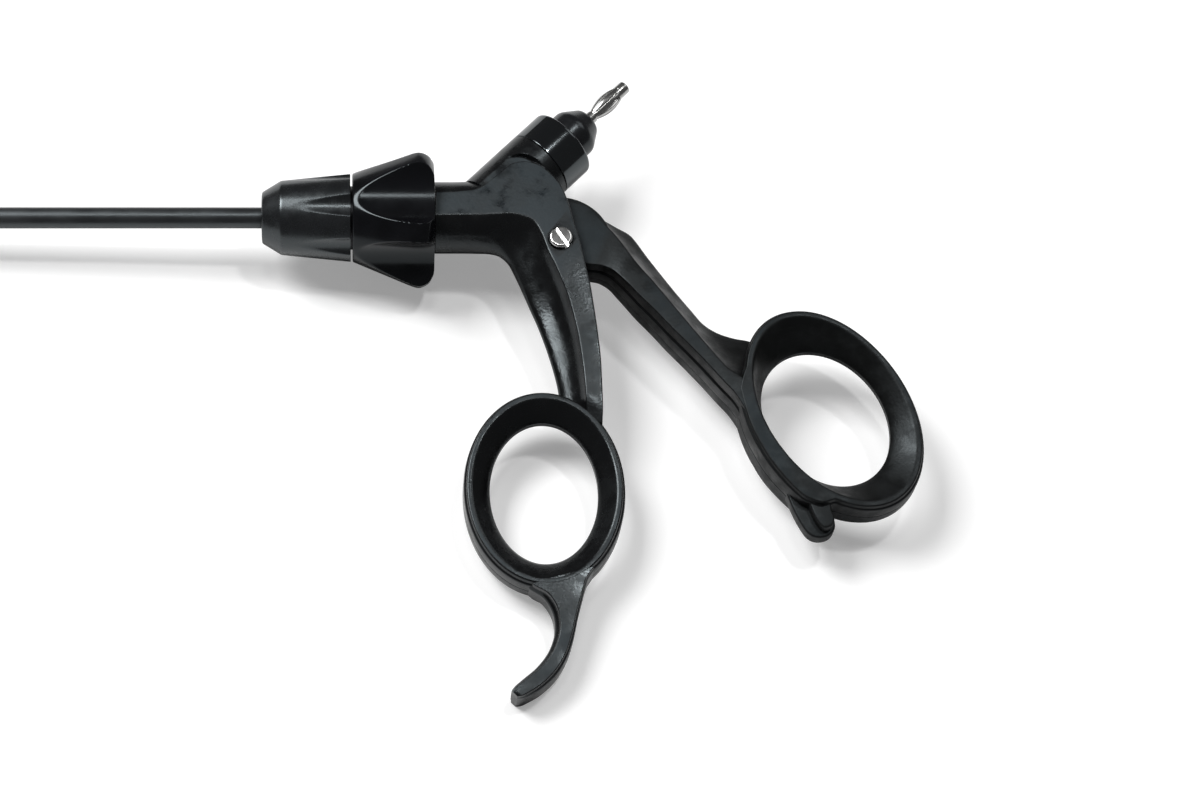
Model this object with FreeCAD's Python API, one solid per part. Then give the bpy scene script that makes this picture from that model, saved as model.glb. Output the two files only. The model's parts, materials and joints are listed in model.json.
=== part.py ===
import FreeCAD, Part
import math
import os

# Laparoscopic scissors with a rotating shaft, a pistol handle with two finger rings and a plug post.
# Frame: origin on the shaft axis at the front face of the nose nut, +X towards the handle's rear,
# +Y towards the plug post, +Z square to the handle's flat sides. All sizes in millimetres.

# Clearances
RUN = 0.06            # radial gap of a running fit
SLIDE = 0.10          # gap beside a flat that slides
FREE = 0.3            # gap between a moving part and a wall it never touches

# Shaft
TUBE_R = 2.3
TUBE_WALL = 0.35
SHEATH_WALL = 0.2     # thickness of the insulation on the tube
SHEATH_SETBACK = 0.1  # from the nut's front face to the insulation's rear end
ROD_R = 1.2
SPACER_LENGTH = 6.0
SPACER_COUNT = 6
SPACER_PITCH = 45.0
FRONT_SPACER_SETBACK = 32.0
TUBE_FRONT = -306.0

# Jaws
JAW_PIN_X = -315.0
JAW_PIN_R = 0.6
JAW_PIN_HEAD_R = 1.0
JAW_OPEN = 28.0
BLADE_LENGTH = 15.0
BLADE_WIDTH = 2.1
BLADE_THICK = 0.94
TAIL_THICK = 0.56
TAIL_WALL = 0.45
HUB_R = 1.75
FORK_NOSE = 1.8
FORK_SPIGOT = 6.0
DRIVE_PIN_R = 0.4
DRIVE_START = 2.7     # from the jaw pin to the drive pin with the jaws open
TONGUE_THICK = 0.66
TONGUE_HEIGHT = 1.8
CAM_STEPS = 8

# Nose nut
NOSE_FRONT_R = 6.0
NOSE_CHAMFER = 4.5
NOSE_CHAMFER_R = 8.75
NOSE_REAR_R = 10.4
NOSE_LENGTH = 20.8
NOSE_EDGE = 0.6
FLUTES = 6
FLUTE_PHASE = -8.8
FLUTE_R = 5.8
FLUTE_VALLEY_R = 9.24
NUT_WALL_FRONT = 4.0

# Hub and knob
HUB_SLEEVE_R = 7.5
HUB_SETBACK = 3.0     # from the nut's front wall to the hub
HUB_REAR_GAP = 0.7    # from the hub's rear end to the handle's spigot
COLLET_WALL = 1.9
COLLET_LENGTH = 13.0
KNOB_GAP = 0.45
KNOB_LENGTH = 19.2
KNOB_FRONT_R = 10.4
KNOB_MAX_R = 16.8
KNOB_RIM = 3.4
KNOB_REAR_R = 13.4
LOBES = 5
LOBE_PHASE = -39.0
GRUB_VALLEY = 2.5     # which valley holds the set screw, counted in lobes
SCOOP_R = 9.8
KNOB_VALLEY_R = 10.8
KNOB_GRUB_R = 1.5

# Barrel and handle
BARREL_GAP = 0.25
BARREL_R = 8.5
FLAT_Z = 7.9
SPIGOT_R = 4.6
SPIGOT_LENGTH = 8.0
BUSH_WALL = 1.2
ROD_BORE_R = 2.1
RING_SETBACK = 0.5    # from the spigot's end to the ring
RING_THICK = 0.6
RING_GROOVE = 0.5     # depth of its groove
RING_PROUD = 0.7      # how far it stands out of the spigot
ARM_THICK_AT_RING = 5.6
ARM_TAPER_TOP = -14.0
ARM_TAPER_END = -50.0
FRONT_ROOT = 2.0
FRONT_ROOT_DROP = 0.3

# Pivot
PIVOT_X = 69.8
PIVOT_Y = -9.3
PIVOT_SHANK_R = 1.7
PIVOT_BUSH_R = 2.5
PIVOT_HEAD_R = 2.75
PIVOT_RECESS_R = 3.0
PIVOT_RECESS = 1.0
PIVOT_HEAD_RISE = 1.2
PIVOT_SLOT = 1.1
LEVER_TRAVEL = 24.0

# Lever
TANG_Z = 4.9
LEVER_Z = 6.8
LEVER_WIDE_AT = 24.0
TANG_HUB_R = 5.2
HEAD_R = 14.2
BALL_R = 1.9
SOCKET_OPEN = 0.35
SOCKET_WALL = 1.2     # steel round the ball's channel
WASHER = 0.5
CAVITY_FROM = 134.0    # angle about the pivot where the cheeks' cavity starts

# Plug post
POST_ROOT_X = 51.8
POST_ANGLE = 45.0
POST_R = 8.85
POST_COLLAR = 14.8
CAP_START = 20.0
CAP_END = 28.4
CAP_EDGE = 0.5
NIPPLE_R = 6.1
NIPPLE_SHOULDER = 32.6
NIPPLE_END = 37.6
NIPPLE_END_R = 3.3
PIN_NECK_R = 1.5
PIN_TIP_R = 1.55
PIN_BULGE_R = 2.45
PIN_LENGTH = 12.8
PIN_CORE_R = 0.9
LEAVES = 6
INSERT_R = 4.0
PLUNGER_R = 1.3
SPRING_WIRE = 0.3
SPRING_TURNS = 6

# Finger ring and hook
FINGER_X = 64.5
FINGER_Y = -70.5
FINGER_HOLE = (12.4, 17.2)
FINGER_RIM = (16.6, 21.8)
FINGER_OUTER = (18.5, 24.0)
FINGER_Z = 4.8
HOOK_Z = 4.2

# Thumb ring
THUMB_X = 130.6
THUMB_Y = -52.5
THUMB_LEAN = 29.0
THUMB_HOLE = (13.9, 17.7)
THUMB_RIM = (16.6, 24.6)
THUMB_OUTER = (18.6, 26.8)
THUMB_RIM_SHIFT = (1.5, 0.8)
THUMB_Z_LEVER = 7.0
THUMB_Z_FAR = 4.2

V = FreeCAD.Vector
X_DIR = V(1, 0, 0)
Z_DIR = V(0, 0, 1)
SHAFT_R = TUBE_R + SHEATH_WALL
TUBE_BORE = TUBE_R - TUBE_WALL
FORK_R = TUBE_R
COLLET_R = TUBE_R + COLLET_WALL
KNOB_FRONT = NOSE_LENGTH + KNOB_GAP
KNOB_REAR = KNOB_FRONT + KNOB_LENGTH
BARREL_FRONT = KNOB_REAR + BARREL_GAP
SPIGOT_FRONT = BARREL_FRONT - SPIGOT_LENGTH
HUB_SLEEVE_FRONT = NUT_WALL_FRONT + HUB_SETBACK
HUB_SLEEVE_REAR = SPIGOT_FRONT - HUB_REAR_GAP
TUBE_REAR = HUB_SLEEVE_REAR - 1.0
SOCKET_BLOCK_R = BALL_R + SOCKET_WALL
BALL_X = PIVOT_X + PIVOT_Y * math.tan(math.radians(LEVER_TRAVEL / 2))
STROKE = -2 * PIVOT_Y * math.tan(math.radians(LEVER_TRAVEL / 2))
PIVOT = V(PIVOT_X, PIVOT_Y, 0)
POST_DIR = V(math.cos(math.radians(POST_ANGLE)), math.sin(math.radians(POST_ANGLE)), 0)


def tube_x(radius, x0, x1, bore=0.0):
    """A cylinder or tube about the shaft axis."""
    shape = Part.makeCylinder(radius, x1 - x0, V(x0, 0, 0), X_DIR)
    if bore > 0:
        shape = shape.cut(Part.makeCylinder(bore, x1 - x0, V(x0, 0, 0), X_DIR))
    return shape


def turned_x(points):
    """A solid turned about the shaft axis from (x, radius) points that start and end on the axis."""
    corners = [V(x, r, 0) for x, r in points]
    face = Part.Face(Part.makePolygon(corners + corners[:1]))
    return face.revolve(V(0, 0, 0), X_DIR, 360)


def at_post(distance):
    """The point of the post's axis at a distance from the shaft axis."""
    return V(POST_ROOT_X, 0, 0) + POST_DIR * distance


def post_tube(radius, start, end, bore=0.0):
    """A cylinder or tube about the post's axis."""
    shape = Part.makeCylinder(radius, end - start, at_post(start), POST_DIR)
    if bore > 0:
        shape = shape.cut(Part.makeCylinder(bore, end - start, at_post(start), POST_DIR))
    return shape


def block(x0, x1, y0, y1, z0, z1):
    """A box between two corners."""
    return Part.makeBox(x1 - x0, y1 - y0, z1 - z0, V(x0, y0, z0))


def slab(points, half, smooth=()):
    """A plate of half thickness on both sides of the mid-plane; smooth lists the runs drawn as curves."""
    edges = []
    index = 0
    count = len(points)
    corners = [V(x, y, 0) for x, y in points]
    while index < count:
        run = next((r for r in smooth if r[0] == index), None)
        if run:
            curve = Part.BSplineCurve()
            curve.interpolate([corners[i % count] for i in range(run[0], run[1] + 1)])
            edges.append(curve.toShape())
            index = run[1]
        else:
            edges.append(Part.makeLine(corners[index], corners[(index + 1) % count]))
            index += 1
    face = Part.Face(Part.Wire(edges))
    face.translate(V(0, 0, -half))
    return face.extrude(V(0, 0, 2 * half))


def ellipse(centre, half_sizes, z, lean=0.0):
    """An ellipse wire in a plane of height z; lean turns its long axis from +Y towards -X."""
    short, long = half_sizes
    axis = V(-math.sin(math.radians(lean)), math.cos(math.radians(lean)), 0)
    side = V(axis.y, -axis.x, 0)
    middle = V(centre[0], centre[1], z)
    curve = Part.Ellipse(middle + axis * long, middle + side * short, middle)
    return Part.Wire([curve.toShape()])


def oval_prism(centre, half_sizes, half, lean=0.0):
    """An elliptical plate."""
    face = Part.Face(ellipse(centre, half_sizes, -half, lean))
    return face.extrude(V(0, 0, 2 * half))


def waisted_hole(centre, hole, rim, rim_z, lean=0.0, shift=(0, 0)):
    """A finger hole: narrowest at the mid-plane and flaring to the rim on both sides."""
    shape = None
    waist = 0.8
    for side in (1, -1):
        reach = 2.0
        grow = 1 + reach / (rim_z - waist)
        wide = [h + (r - h) * grow for h, r in zip(hole, rim)]
        far = (centre[0] + shift[0] * grow, centre[1] + shift[1] * grow)
        low = ellipse(centre, hole, side * waist, lean)
        high = ellipse(far, wide, side * (rim_z + reach), lean)
        cone = Part.makeLoft([low, high], True, True)
        shape = cone if shape is None else shape.fuse(cone)
    return shape.fuse(oval_prism(centre, hole, waist, lean))


def rounded(shape, chosen, radius):
    """Rounds the chosen edges."""
    return shape.makeFillet(radius, [edge for edge in shape.Edges if chosen(edge)])


def about_x(shape, degrees):
    """A copy turned about the shaft axis; 0 is +Z and the angle grows towards +Y."""
    copy = shape.copy()
    copy.rotate(V(0, 0, 0), X_DIR, -degrees)
    return copy


# Shaft: an insulated steel tube with the draw rod inside


def sheath_tube():
    return tube_x(TUBE_R, TUBE_FRONT, TUBE_REAR, TUBE_BORE)


def sheath_insulation():
    return tube_x(SHAFT_R, TUBE_FRONT, -SHEATH_SETBACK, TUBE_R)


def draw_rod():
    front = JAW_PIN_X + DRIVE_START + STROKE + 4.5
    return tube_x(ROD_R, front, BALL_X - BALL_R * 0.7)


def rod_spacers():
    """Moulded rings on the rod that centre it in the tube and close it against gas."""
    rings = []
    for index in range(SPACER_COUNT):
        start = TUBE_FRONT + FRONT_SPACER_SETBACK + index * SPACER_PITCH
        rings.append(tube_x(TUBE_BORE - RUN, start, start + SPACER_LENGTH, ROD_R))
    return Part.makeCompound(rings)


def ball_end():
    """The ball that the lever holds, with its neck sleeve."""
    ball = Part.makeSphere(BALL_R, V(BALL_X, 0, 0))
    return ball.cut(tube_x(ROD_R, BALL_X - 2 * BALL_R, BALL_X - BALL_R * 0.7))


# Jaws: two blades on one pin, driven by a cross pin in their curved tail slots


def drive_yoke():
    """The rod's flattened tongue, which carries the drive pin between the two tails."""
    pin_x = JAW_PIN_X + DRIVE_START
    rear = JAW_PIN_X + DRIVE_START + STROKE + 4.5
    half = TONGUE_HEIGHT / 2
    tongue = block(pin_x - 0.3, rear, -half, half, -TONGUE_THICK / 2, TONGUE_THICK / 2)
    nose = Part.makeCylinder(half, TONGUE_THICK, V(pin_x, 0, -TONGUE_THICK / 2), Z_DIR)
    tongue = tongue.common(block(pin_x, rear, -half, half, -1, 1)).fuse(nose)
    return tongue.cut(Part.makeCylinder(DRIVE_PIN_R, 4, V(pin_x, 0, -2), Z_DIR))


def drive_pin():
    half = BLADE_THICK + SLIDE * 0.5
    return Part.makeCylinder(DRIVE_PIN_R, 2 * half, V(JAW_PIN_X + DRIVE_START, 0, -half), Z_DIR)


def jaw_pin():
    """A riveted pin through the fork's two cheeks."""
    reach = math.sqrt(FORK_R ** 2 - JAW_PIN_HEAD_R ** 2) - 0.05
    return Part.makeCylinder(JAW_PIN_R, 2 * reach, V(JAW_PIN_X, 0, -reach), Z_DIR)


def tip_fork():
    """The clevis at the tube's end."""
    front = JAW_PIN_X - FORK_NOSE
    body = tube_x(FORK_R, front, TUBE_FRONT)
    body = body.fuse(tube_x(TUBE_BORE, TUBE_FRONT, TUBE_FRONT + FORK_SPIGOT))
    body = body.cut(tube_x(ROD_R + RUN, TUBE_FRONT - 3.0, TUBE_FRONT + FORK_SPIGOT))
    gap = BLADE_THICK + SLIDE
    body = body.cut(block(front - 1, TUBE_FRONT - 1.0, -3, 3, -gap, gap))
    body = body.cut(Part.makeCylinder(JAW_PIN_R, 8, V(JAW_PIN_X, 0, -4), Z_DIR))
    nose = Part.makeSphere(FORK_R * 1.35, V(front + FORK_R * 1.15, 0, 0))
    tail = tube_x(FORK_R + 1, front + FORK_R * 0.9, TUBE_FRONT + FORK_SPIGOT)
    return body.common(nose.fuse(tail))


def cam_point(fraction):
    """Where the drive pin stands in the closed blade's own frame, at a share of the closing stroke."""
    reach = DRIVE_START + STROKE * fraction
    turn = math.radians(JAW_OPEN * (1 - fraction))
    return V(JAW_PIN_X + reach * math.cos(turn), reach * math.sin(turn), 0)


def blade_closed():
    """One blade as it lies closed, above the mid-plane, with its tail and cam slot."""
    tip_x = JAW_PIN_X - BLADE_LENGTH
    points = [(JAW_PIN_X, -0.5), (tip_x + 1.2, -0.25), (tip_x, 0.15), (tip_x + 1.0, 0.9),
              (tip_x + 5.0, 1.7), (tip_x + 10.0, BLADE_WIDTH), (JAW_PIN_X - 2.0, BLADE_WIDTH),
              (JAW_PIN_X, HUB_R)]
    blade = slab(points, 5.0, smooth=((2, 6),))
    hub = Part.makeCylinder(HUB_R, 10, V(JAW_PIN_X, 0, -5), Z_DIR)
    blade = blade.fuse(hub).common(block(tip_x - 1, JAW_PIN_X + 3, -4, 4, SLIDE * 0.3, BLADE_THICK))
    cam = [cam_point(step / CAM_STEPS) for step in range(CAM_STEPS + 1)]
    tail_r = DRIVE_PIN_R + RUN + TAIL_WALL
    tail = None
    slot = None
    for near, far in zip(cam, cam[1:]):
        wall = stadium(near, far, tail_r)
        hole = stadium(near, far, DRIVE_PIN_R + RUN)
        tail = wall if tail is None else tail.fuse(wall)
        slot = hole if slot is None else slot.fuse(hole)
    root = stadium(V(JAW_PIN_X, 0, 0), cam[0], tail_r)
    tail = tail.fuse(root).common(block(JAW_PIN_X - 1, TUBE_FRONT, -4, 5,
                                        BLADE_THICK - TAIL_THICK, BLADE_THICK))
    blade = blade.fuse(tail).cut(slot)
    return blade.cut(Part.makeCylinder(JAW_PIN_R + RUN, 10, V(JAW_PIN_X, 0, -5), Z_DIR))


def stadium(near, far, radius):
    """A tall plate with two round ends."""
    along = (far - near).normalize()
    side = V(-along.y, along.x, 0) * radius
    low = V(0, 0, -5)
    corners = [near + side + low, far + side + low, far - side + low, near - side + low]
    plate = Part.Face(Part.makePolygon(corners + corners[:1])).extrude(V(0, 0, 10))
    plate = plate.fuse(Part.makeCylinder(radius, 10, near + low, Z_DIR))
    return plate.fuse(Part.makeCylinder(radius, 10, far + low, Z_DIR))


def blade_upper():
    """The blade that opens towards +Y, shown open."""
    blade = blade_closed()
    blade.rotate(V(JAW_PIN_X, 0, 0), Z_DIR, -JAW_OPEN)
    return blade


def blade_lower():
    """The blade that opens towards -Y: the other one turned half a turn about the shaft axis."""
    blade = blade_upper()
    blade.rotate(V(0, 0, 0), X_DIR, 180)
    return blade


# Nose nut, hub and knob


def nose_nut():
    """The fluted nut that clamps the shaft in the hub."""
    body = turned_x([(0, 0), (0, NOSE_FRONT_R), (NOSE_CHAMFER, NOSE_CHAMFER_R),
                     (NOSE_LENGTH, NOSE_REAR_R), (NOSE_LENGTH, 0)])
    round_edge = lambda e: isinstance(e.Curve, Part.Circle) and e.CenterOfMass.x < NOSE_CHAMFER + 0.1
    body = rounded(body, round_edge, NOSE_EDGE)
    for index in range(FLUTES):
        flute = Part.makeCylinder(FLUTE_R, 2 * NOSE_LENGTH,
                                  V(-1, 0, FLUTE_VALLEY_R + FLUTE_R), X_DIR)
        body = body.cut(about_x(flute, FLUTE_PHASE + index * 360 / FLUTES))
    body = body.cut(tube_x(HUB_SLEEVE_R + RUN, NUT_WALL_FRONT, NOSE_LENGTH + 1))
    return body.cut(tube_x(TUBE_R + RUN, -1, NOSE_LENGTH))


def nose_seal():
    """A soft ring between the nut and the collet."""
    start = NUT_WALL_FRONT + SLIDE
    return tube_x(COLLET_R + 1.4, start, HUB_SLEEVE_FRONT - SLIDE, TUBE_R)


def collet():
    """The slit sleeve that grips the tube inside the hub."""
    sleeve = tube_x(COLLET_R, HUB_SLEEVE_FRONT, HUB_SLEEVE_FRONT + COLLET_LENGTH, TUBE_R)
    for index in range(2):
        slit = block(HUB_SLEEVE_FRONT - 1, HUB_SLEEVE_FRONT + 0.6 * COLLET_LENGTH, -0.3, 0.3, -6, 6)
        sleeve = sleeve.cut(about_x(slit, 90 * index))
    return sleeve


def hub_sleeve():
    """The turned hub that carries the shaft, with the knob pressed on it."""
    body = tube_x(HUB_SLEEVE_R, HUB_SLEEVE_FRONT, HUB_SLEEVE_REAR)
    body = body.cut(tube_x(COLLET_R, HUB_SLEEVE_FRONT, HUB_SLEEVE_FRONT + COLLET_LENGTH))
    body = body.cut(tube_x(TUBE_R, HUB_SLEEVE_FRONT, TUBE_REAR))
    return body.cut(tube_x(ROD_R + FREE, HUB_SLEEVE_FRONT, HUB_SLEEVE_REAR + 1))


def rotation_knob():
    """The five-lobed knob that turns the shaft."""
    shoulder = KNOB_REAR - KNOB_RIM
    body = turned_x([(KNOB_FRONT, 0), (KNOB_FRONT, KNOB_FRONT_R), (shoulder - 2.0, KNOB_MAX_R - 0.6),
                     (shoulder, KNOB_MAX_R), (KNOB_REAR - 1.2, KNOB_MAX_R - 1.1),
                     (KNOB_REAR, KNOB_REAR_R), (KNOB_REAR, 0)])
    rim = lambda e: isinstance(e.Curve, Part.Circle) and e.CenterOfMass.x > shoulder - 2.5
    body = rounded(body, rim, 1.0)
    for index in range(LOBES):
        scoop = Part.makeCylinder(SCOOP_R, 2 * KNOB_LENGTH,
                                  V(KNOB_FRONT - 1, 0, KNOB_VALLEY_R + SCOOP_R), X_DIR)
        body = body.cut(about_x(scoop, LOBE_PHASE + (index + 0.5) * 360 / LOBES))
    body = body.cut(tube_x(HUB_SLEEVE_R, KNOB_FRONT - 1, HUB_SLEEVE_REAR))
    body = body.cut(tube_x(SPIGOT_R + RUN + BUSH_WALL, HUB_SLEEVE_REAR - 1, KNOB_REAR + 1))
    grub = Part.makeCylinder(KNOB_GRUB_R, KNOB_MAX_R, V(KNOB_FRONT + 6.0, 0, 0), Z_DIR)
    return body.cut(about_x(grub, LOBE_PHASE + GRUB_VALLEY * 360 / LOBES))


def knob_grub():
    """The set screw that locks the knob to the hub."""
    length = KNOB_VALLEY_R - HUB_SLEEVE_R - 0.6
    screw = Part.makeCylinder(KNOB_GRUB_R, length, V(KNOB_FRONT + 6.0, 0, HUB_SLEEVE_R), Z_DIR)
    slot = block(KNOB_FRONT + 4, KNOB_FRONT + 8, -0.3, 0.3, HUB_SLEEVE_R + length - 0.8, KNOB_MAX_R)
    return about_x(screw.cut(slot), LOBE_PHASE + GRUB_VALLEY * 360 / LOBES)


def barrel_bush():
    """The plain bearing between the knob and the handle's spigot."""
    start = SPIGOT_FRONT + RING_SETBACK + RING_THICK + FREE
    return tube_x(SPIGOT_R + RUN + BUSH_WALL, start, KNOB_REAR, SPIGOT_R + RUN)


def retaining_ring():
    """The spring ring in the spigot's groove that keeps the knob on."""
    start = SPIGOT_FRONT + RING_SETBACK
    ring = tube_x(SPIGOT_R + RING_PROUD, start, start + RING_THICK, SPIGOT_R - RING_GROOVE)
    return ring.cut(block(start - 1, start + 1, 0, 6, -0.8, 0.8))


# Handle body


def front_section(flat_edge, front, half, bulge, nose):
    """One section of the handle's front side: flat edge, hollow or bulging flank, round nose."""
    edge = V(flat_edge[0], flat_edge[1], 0)
    tip = V(front[0], front[1], 0)
    depth = (tip - edge).Length
    outward = (tip - edge).normalize()
    inner = edge - outward * FRONT_ROOT
    root = V(0, 0, half - FRONT_ROOT_DROP)
    shoulder = edge + outward * (depth - nose * 0.5) + V(0, 0, nose)
    middle = (edge + V(0, 0, half) + shoulder) * 0.5
    flank = (shoulder - edge - V(0, 0, half)).normalize()
    normal = V(-outward.x * flank.z, -outward.y * flank.z, outward.dot(flank))
    middle = middle + normal * bulge
    under = V(middle.x, middle.y, -middle.z)
    low = V(shoulder.x, shoulder.y, -shoulder.z)
    top = edge + V(0, 0, half)
    bottom = edge - V(0, 0, half)
    return Part.Wire([
        Part.makeLine(inner - root, inner + root),
        Part.makeLine(inner + root, top),
        Part.Arc(top, middle, shoulder).toShape(),
        Part.Arc(shoulder, tip, low).toShape(),
        Part.Arc(low, under, bottom).toShape(),
        Part.makeLine(bottom, inner - root),
    ])


def handle_front():
    """The rounded front of the barrel, which bends down and becomes the hollowed front of the arm."""
    # flat's edge, front edge at the mid-plane, half thickness, bulge (hollow if negative), nose
    stations = [
        ((BARREL_FRONT, -2.9), (BARREL_FRONT, -BARREL_R), FLAT_Z, 1.7, 3.6),
        ((BARREL_FRONT + 4, -2.9), (BARREL_FRONT + 4, -BARREL_R), FLAT_Z, 1.7, 3.6),
        ((BARREL_FRONT + 8, -2.9), (BARREL_FRONT + 8, -BARREL_R), FLAT_Z, 1.7, 3.6),
        ((54.0, -2.8), (52.6, -8.7), FLAT_Z, 1.5, 3.4),
        ((60.0, -3.2), (56.2, -9.9), FLAT_Z, 0.8, 2.8),
        ((64.2, -6.2), (58.8, -13.4), FLAT_Z, -0.4, 2.2),
        ((67.2, -12.8), (61.4, -19.0), FLAT_Z, -1.0, 1.9),
        ((70.2, -21.0), (63.6, -25.0), 7.4, -1.1, 1.8),
        ((72.4, -30.0), (66.2, -33.0), 6.7, -1.0, 1.8),
        ((73.8, -39.0), (68.2, -41.5), 6.1, -0.8, 1.8),
        ((74.4, -50.0), (69.0, -51.0), ARM_THICK_AT_RING, -0.6, 1.8),
    ]
    return Part.makeLoft([front_section(*station) for station in stations], True, False, False, 3)


def arm_taper(side):
    """The wedge that thins the arm from the barrel's flat to its thickness at the ring."""
    corners = [V(60, ARM_TAPER_TOP, side * FLAT_Z), V(60, ARM_TAPER_END, side * ARM_THICK_AT_RING),
               V(60, -60, side * ARM_THICK_AT_RING), V(60, -60, side * 12), V(60, ARM_TAPER_TOP, side * 12)]
    return Part.Face(Part.makePolygon(corners + corners[:1])).extrude(V(30, 0, 0))


def handle_web():
    """The flat-sided middle: upper barrel, plug post root, cheeks and the arm's rear strip."""
    points = [(BARREL_FRONT + 1, -2.0), (BARREL_FRONT + 1, 2.6), (48.0, 2.8), (50.0, 4.2), (56.2, 9.9),
              (59.6, 11.9), (64.0, 11.2), (68.0, 8.0), (71.1, 4.2), (72.2, -0.6), (73.8, -7.0),
              (75.7, -15.0), (77.2, -25.0), (78.4, -38.0), (78.5, -56.0), (75.4, -54.0), (75.0, -39.0),
              (73.5, -30.0), (71.4, -21.0), (68.6, -13.0), (65.9, -6.0), (60.4, -2.0)]
    web = slab(points, FLAT_Z, smooth=((4, 8), (8, 14), (15, 20)))
    return web.cut([arm_taper(1), arm_taper(-1)])


def handle_barrel():
    """The round barrel with its two side flats and the spigot that the knob turns on."""
    barrel = tube_x(BARREL_R, BARREL_FRONT, 58.0)
    barrel = barrel.common(block(BARREL_FRONT, 58.0, -2.4, BARREL_R, -FLAT_Z, FLAT_Z))
    return barrel.fuse(tube_x(SPIGOT_R, SPIGOT_FRONT, BARREL_FRONT + 1))


def handle_post():
    """The round post for the plug, with a full collar behind the cap."""
    column = post_tube(POST_R, 2.0, CAP_START)
    reach = 80.0
    column = column.common(block(0, reach, -reach, reach, -FLAT_Z, FLAT_Z))
    return column.fuse(post_tube(POST_R, POST_COLLAR, CAP_START))


def finger_ring():
    """The oval ring for the ring finger, waisted inside, with its rims rounded."""
    centre = (FINGER_X, FINGER_Y)
    return oval_prism(centre, FINGER_OUTER, FINGER_Z)


def finger_hook():
    """The curved rest for the little finger."""
    points = [(60.0, -90.5), (63.6, -95.0), (66.0, -98.0), (66.8, -102.0), (65.5, -107.6), (62.2, -112.0),
              (57.2, -116.0), (55.6, -117.9), (56.4, -120.0), (61.6, -118.2), (66.6, -113.2),
              (69.4, -106.6), (71.2, -99.8), (72.9, -93.8), (76.6, -87.6), (70.0, -86.0)]
    return slab(points, HOOK_Z, smooth=((0, 6), (8, 14)))


def lever_cavity():
    """The space between the cheeks that the lever's tang swings in."""
    half = TANG_Z + SLIDE
    low = PIVOT - V(0, 0, half)
    hub = Part.makeCylinder(TANG_HUB_R + FREE, 2 * half, low, Z_DIR)
    sweep = Part.makeCylinder(HEAD_R + FREE, 2 * half, low, Z_DIR)
    sector = sweep.common(sector_prism(CAVITY_FROM, -90.0, half))
    well = slab([(PIVOT_X - 1, PIVOT_Y), (PIVOT_X - 1, PIVOT_Y - 6.5), (73.8, -26.0), (82, -26.0),
                 (82, PIVOT_Y)], half)
    return hub.fuse(sector).fuse(well)


def sector_prism(start, end, half, reach=40.0):
    """A wedge of a disc about the pivot, from one angle down to another."""
    corners = [PIVOT - V(0, 0, half)]
    steps = 6
    for step in range(steps + 1):
        angle = math.radians(start + (end - start) * step / steps)
        corners.append(PIVOT + V(math.cos(angle) * reach, math.sin(angle) * reach, -half))
    return Part.Face(Part.makePolygon(corners + corners[:1])).extrude(V(0, 0, 2 * half))


def handle_body():
    body = handle_barrel().fuse([handle_front(), handle_web(), handle_post(), finger_ring(),
                                 finger_hook()])
    body = body.cut(waisted_hole((FINGER_X, FINGER_Y), FINGER_HOLE, FINGER_RIM, FINGER_Z))
    body = body.cut(lever_cavity())
    body = body.cut(tube_x(ROD_BORE_R, SPIGOT_FRONT - 1, PIVOT_X - 1))
    groove = SPIGOT_FRONT + RING_SETBACK
    groove = tube_x(SPIGOT_R + 1, groove, groove + RING_THICK, SPIGOT_R - RING_GROOVE)
    body = body.cut(groove)
    body = body.cut(post_tube(INSERT_R, 9.0, CAP_START + 1))
    body = body.cut(post_tube(PLUNGER_R + RUN, 0, CAP_START))
    shank = Part.makeCylinder(PIVOT_SHANK_R, 4 * FLAT_Z, PIVOT - V(0, 0, 2 * FLAT_Z), Z_DIR)
    for side in (1, -1):
        floor = PIVOT + V(0, 0, side * (FLAT_Z - PIVOT_RECESS))
        shank = shank.fuse(Part.makeCylinder(PIVOT_RECESS_R, 5, floor, Z_DIR * side))
    body = body.cut(shank)
    return body.removeSplitter()


# Pivot of the lever


def pivot_screw():
    """The slotted screw that the lever turns on, with a raised head."""
    floor = FLAT_Z - PIVOT_RECESS
    screw = Part.makeCylinder(PIVOT_SHANK_R, 2 * floor, PIVOT - V(0, 0, floor), Z_DIR)
    head = Part.makeCylinder(PIVOT_HEAD_R, PIVOT_RECESS + PIVOT_HEAD_RISE, PIVOT + V(0, 0, floor), Z_DIR)
    head = rounded(head, lambda e: e.CenterOfMass.z > FLAT_Z, 0.4)
    slot = block(-4, 4, -PIVOT_SLOT / 2, PIVOT_SLOT / 2, 0, 3)
    slot.rotate(V(0, 0, 0), Z_DIR, -58)
    slot.translate(PIVOT + V(0, 0, FLAT_Z))
    return screw.fuse(head).cut(slot)


def pivot_nut():
    """The slotted nut on the other side."""
    floor = FLAT_Z - PIVOT_RECESS
    nut = Part.makeCylinder(PIVOT_HEAD_R, PIVOT_RECESS, PIVOT - V(0, 0, FLAT_Z), Z_DIR)
    slot = block(PIVOT_X - 4, PIVOT_X + 4, PIVOT_Y - 0.5, PIVOT_Y + 0.5, -FLAT_Z - 1, -floor - 0.5)
    return nut.cut(slot)


def pivot_bush():
    """The sleeve on the screw between the cheeks."""
    half = TANG_Z + SLIDE
    sleeve = Part.makeCylinder(PIVOT_BUSH_R, 2 * half, PIVOT - V(0, 0, half), Z_DIR)
    return sleeve.cut(Part.makeCylinder(PIVOT_SHANK_R, 2 * half, PIVOT - V(0, 0, half), Z_DIR))


# Thumb lever


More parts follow.
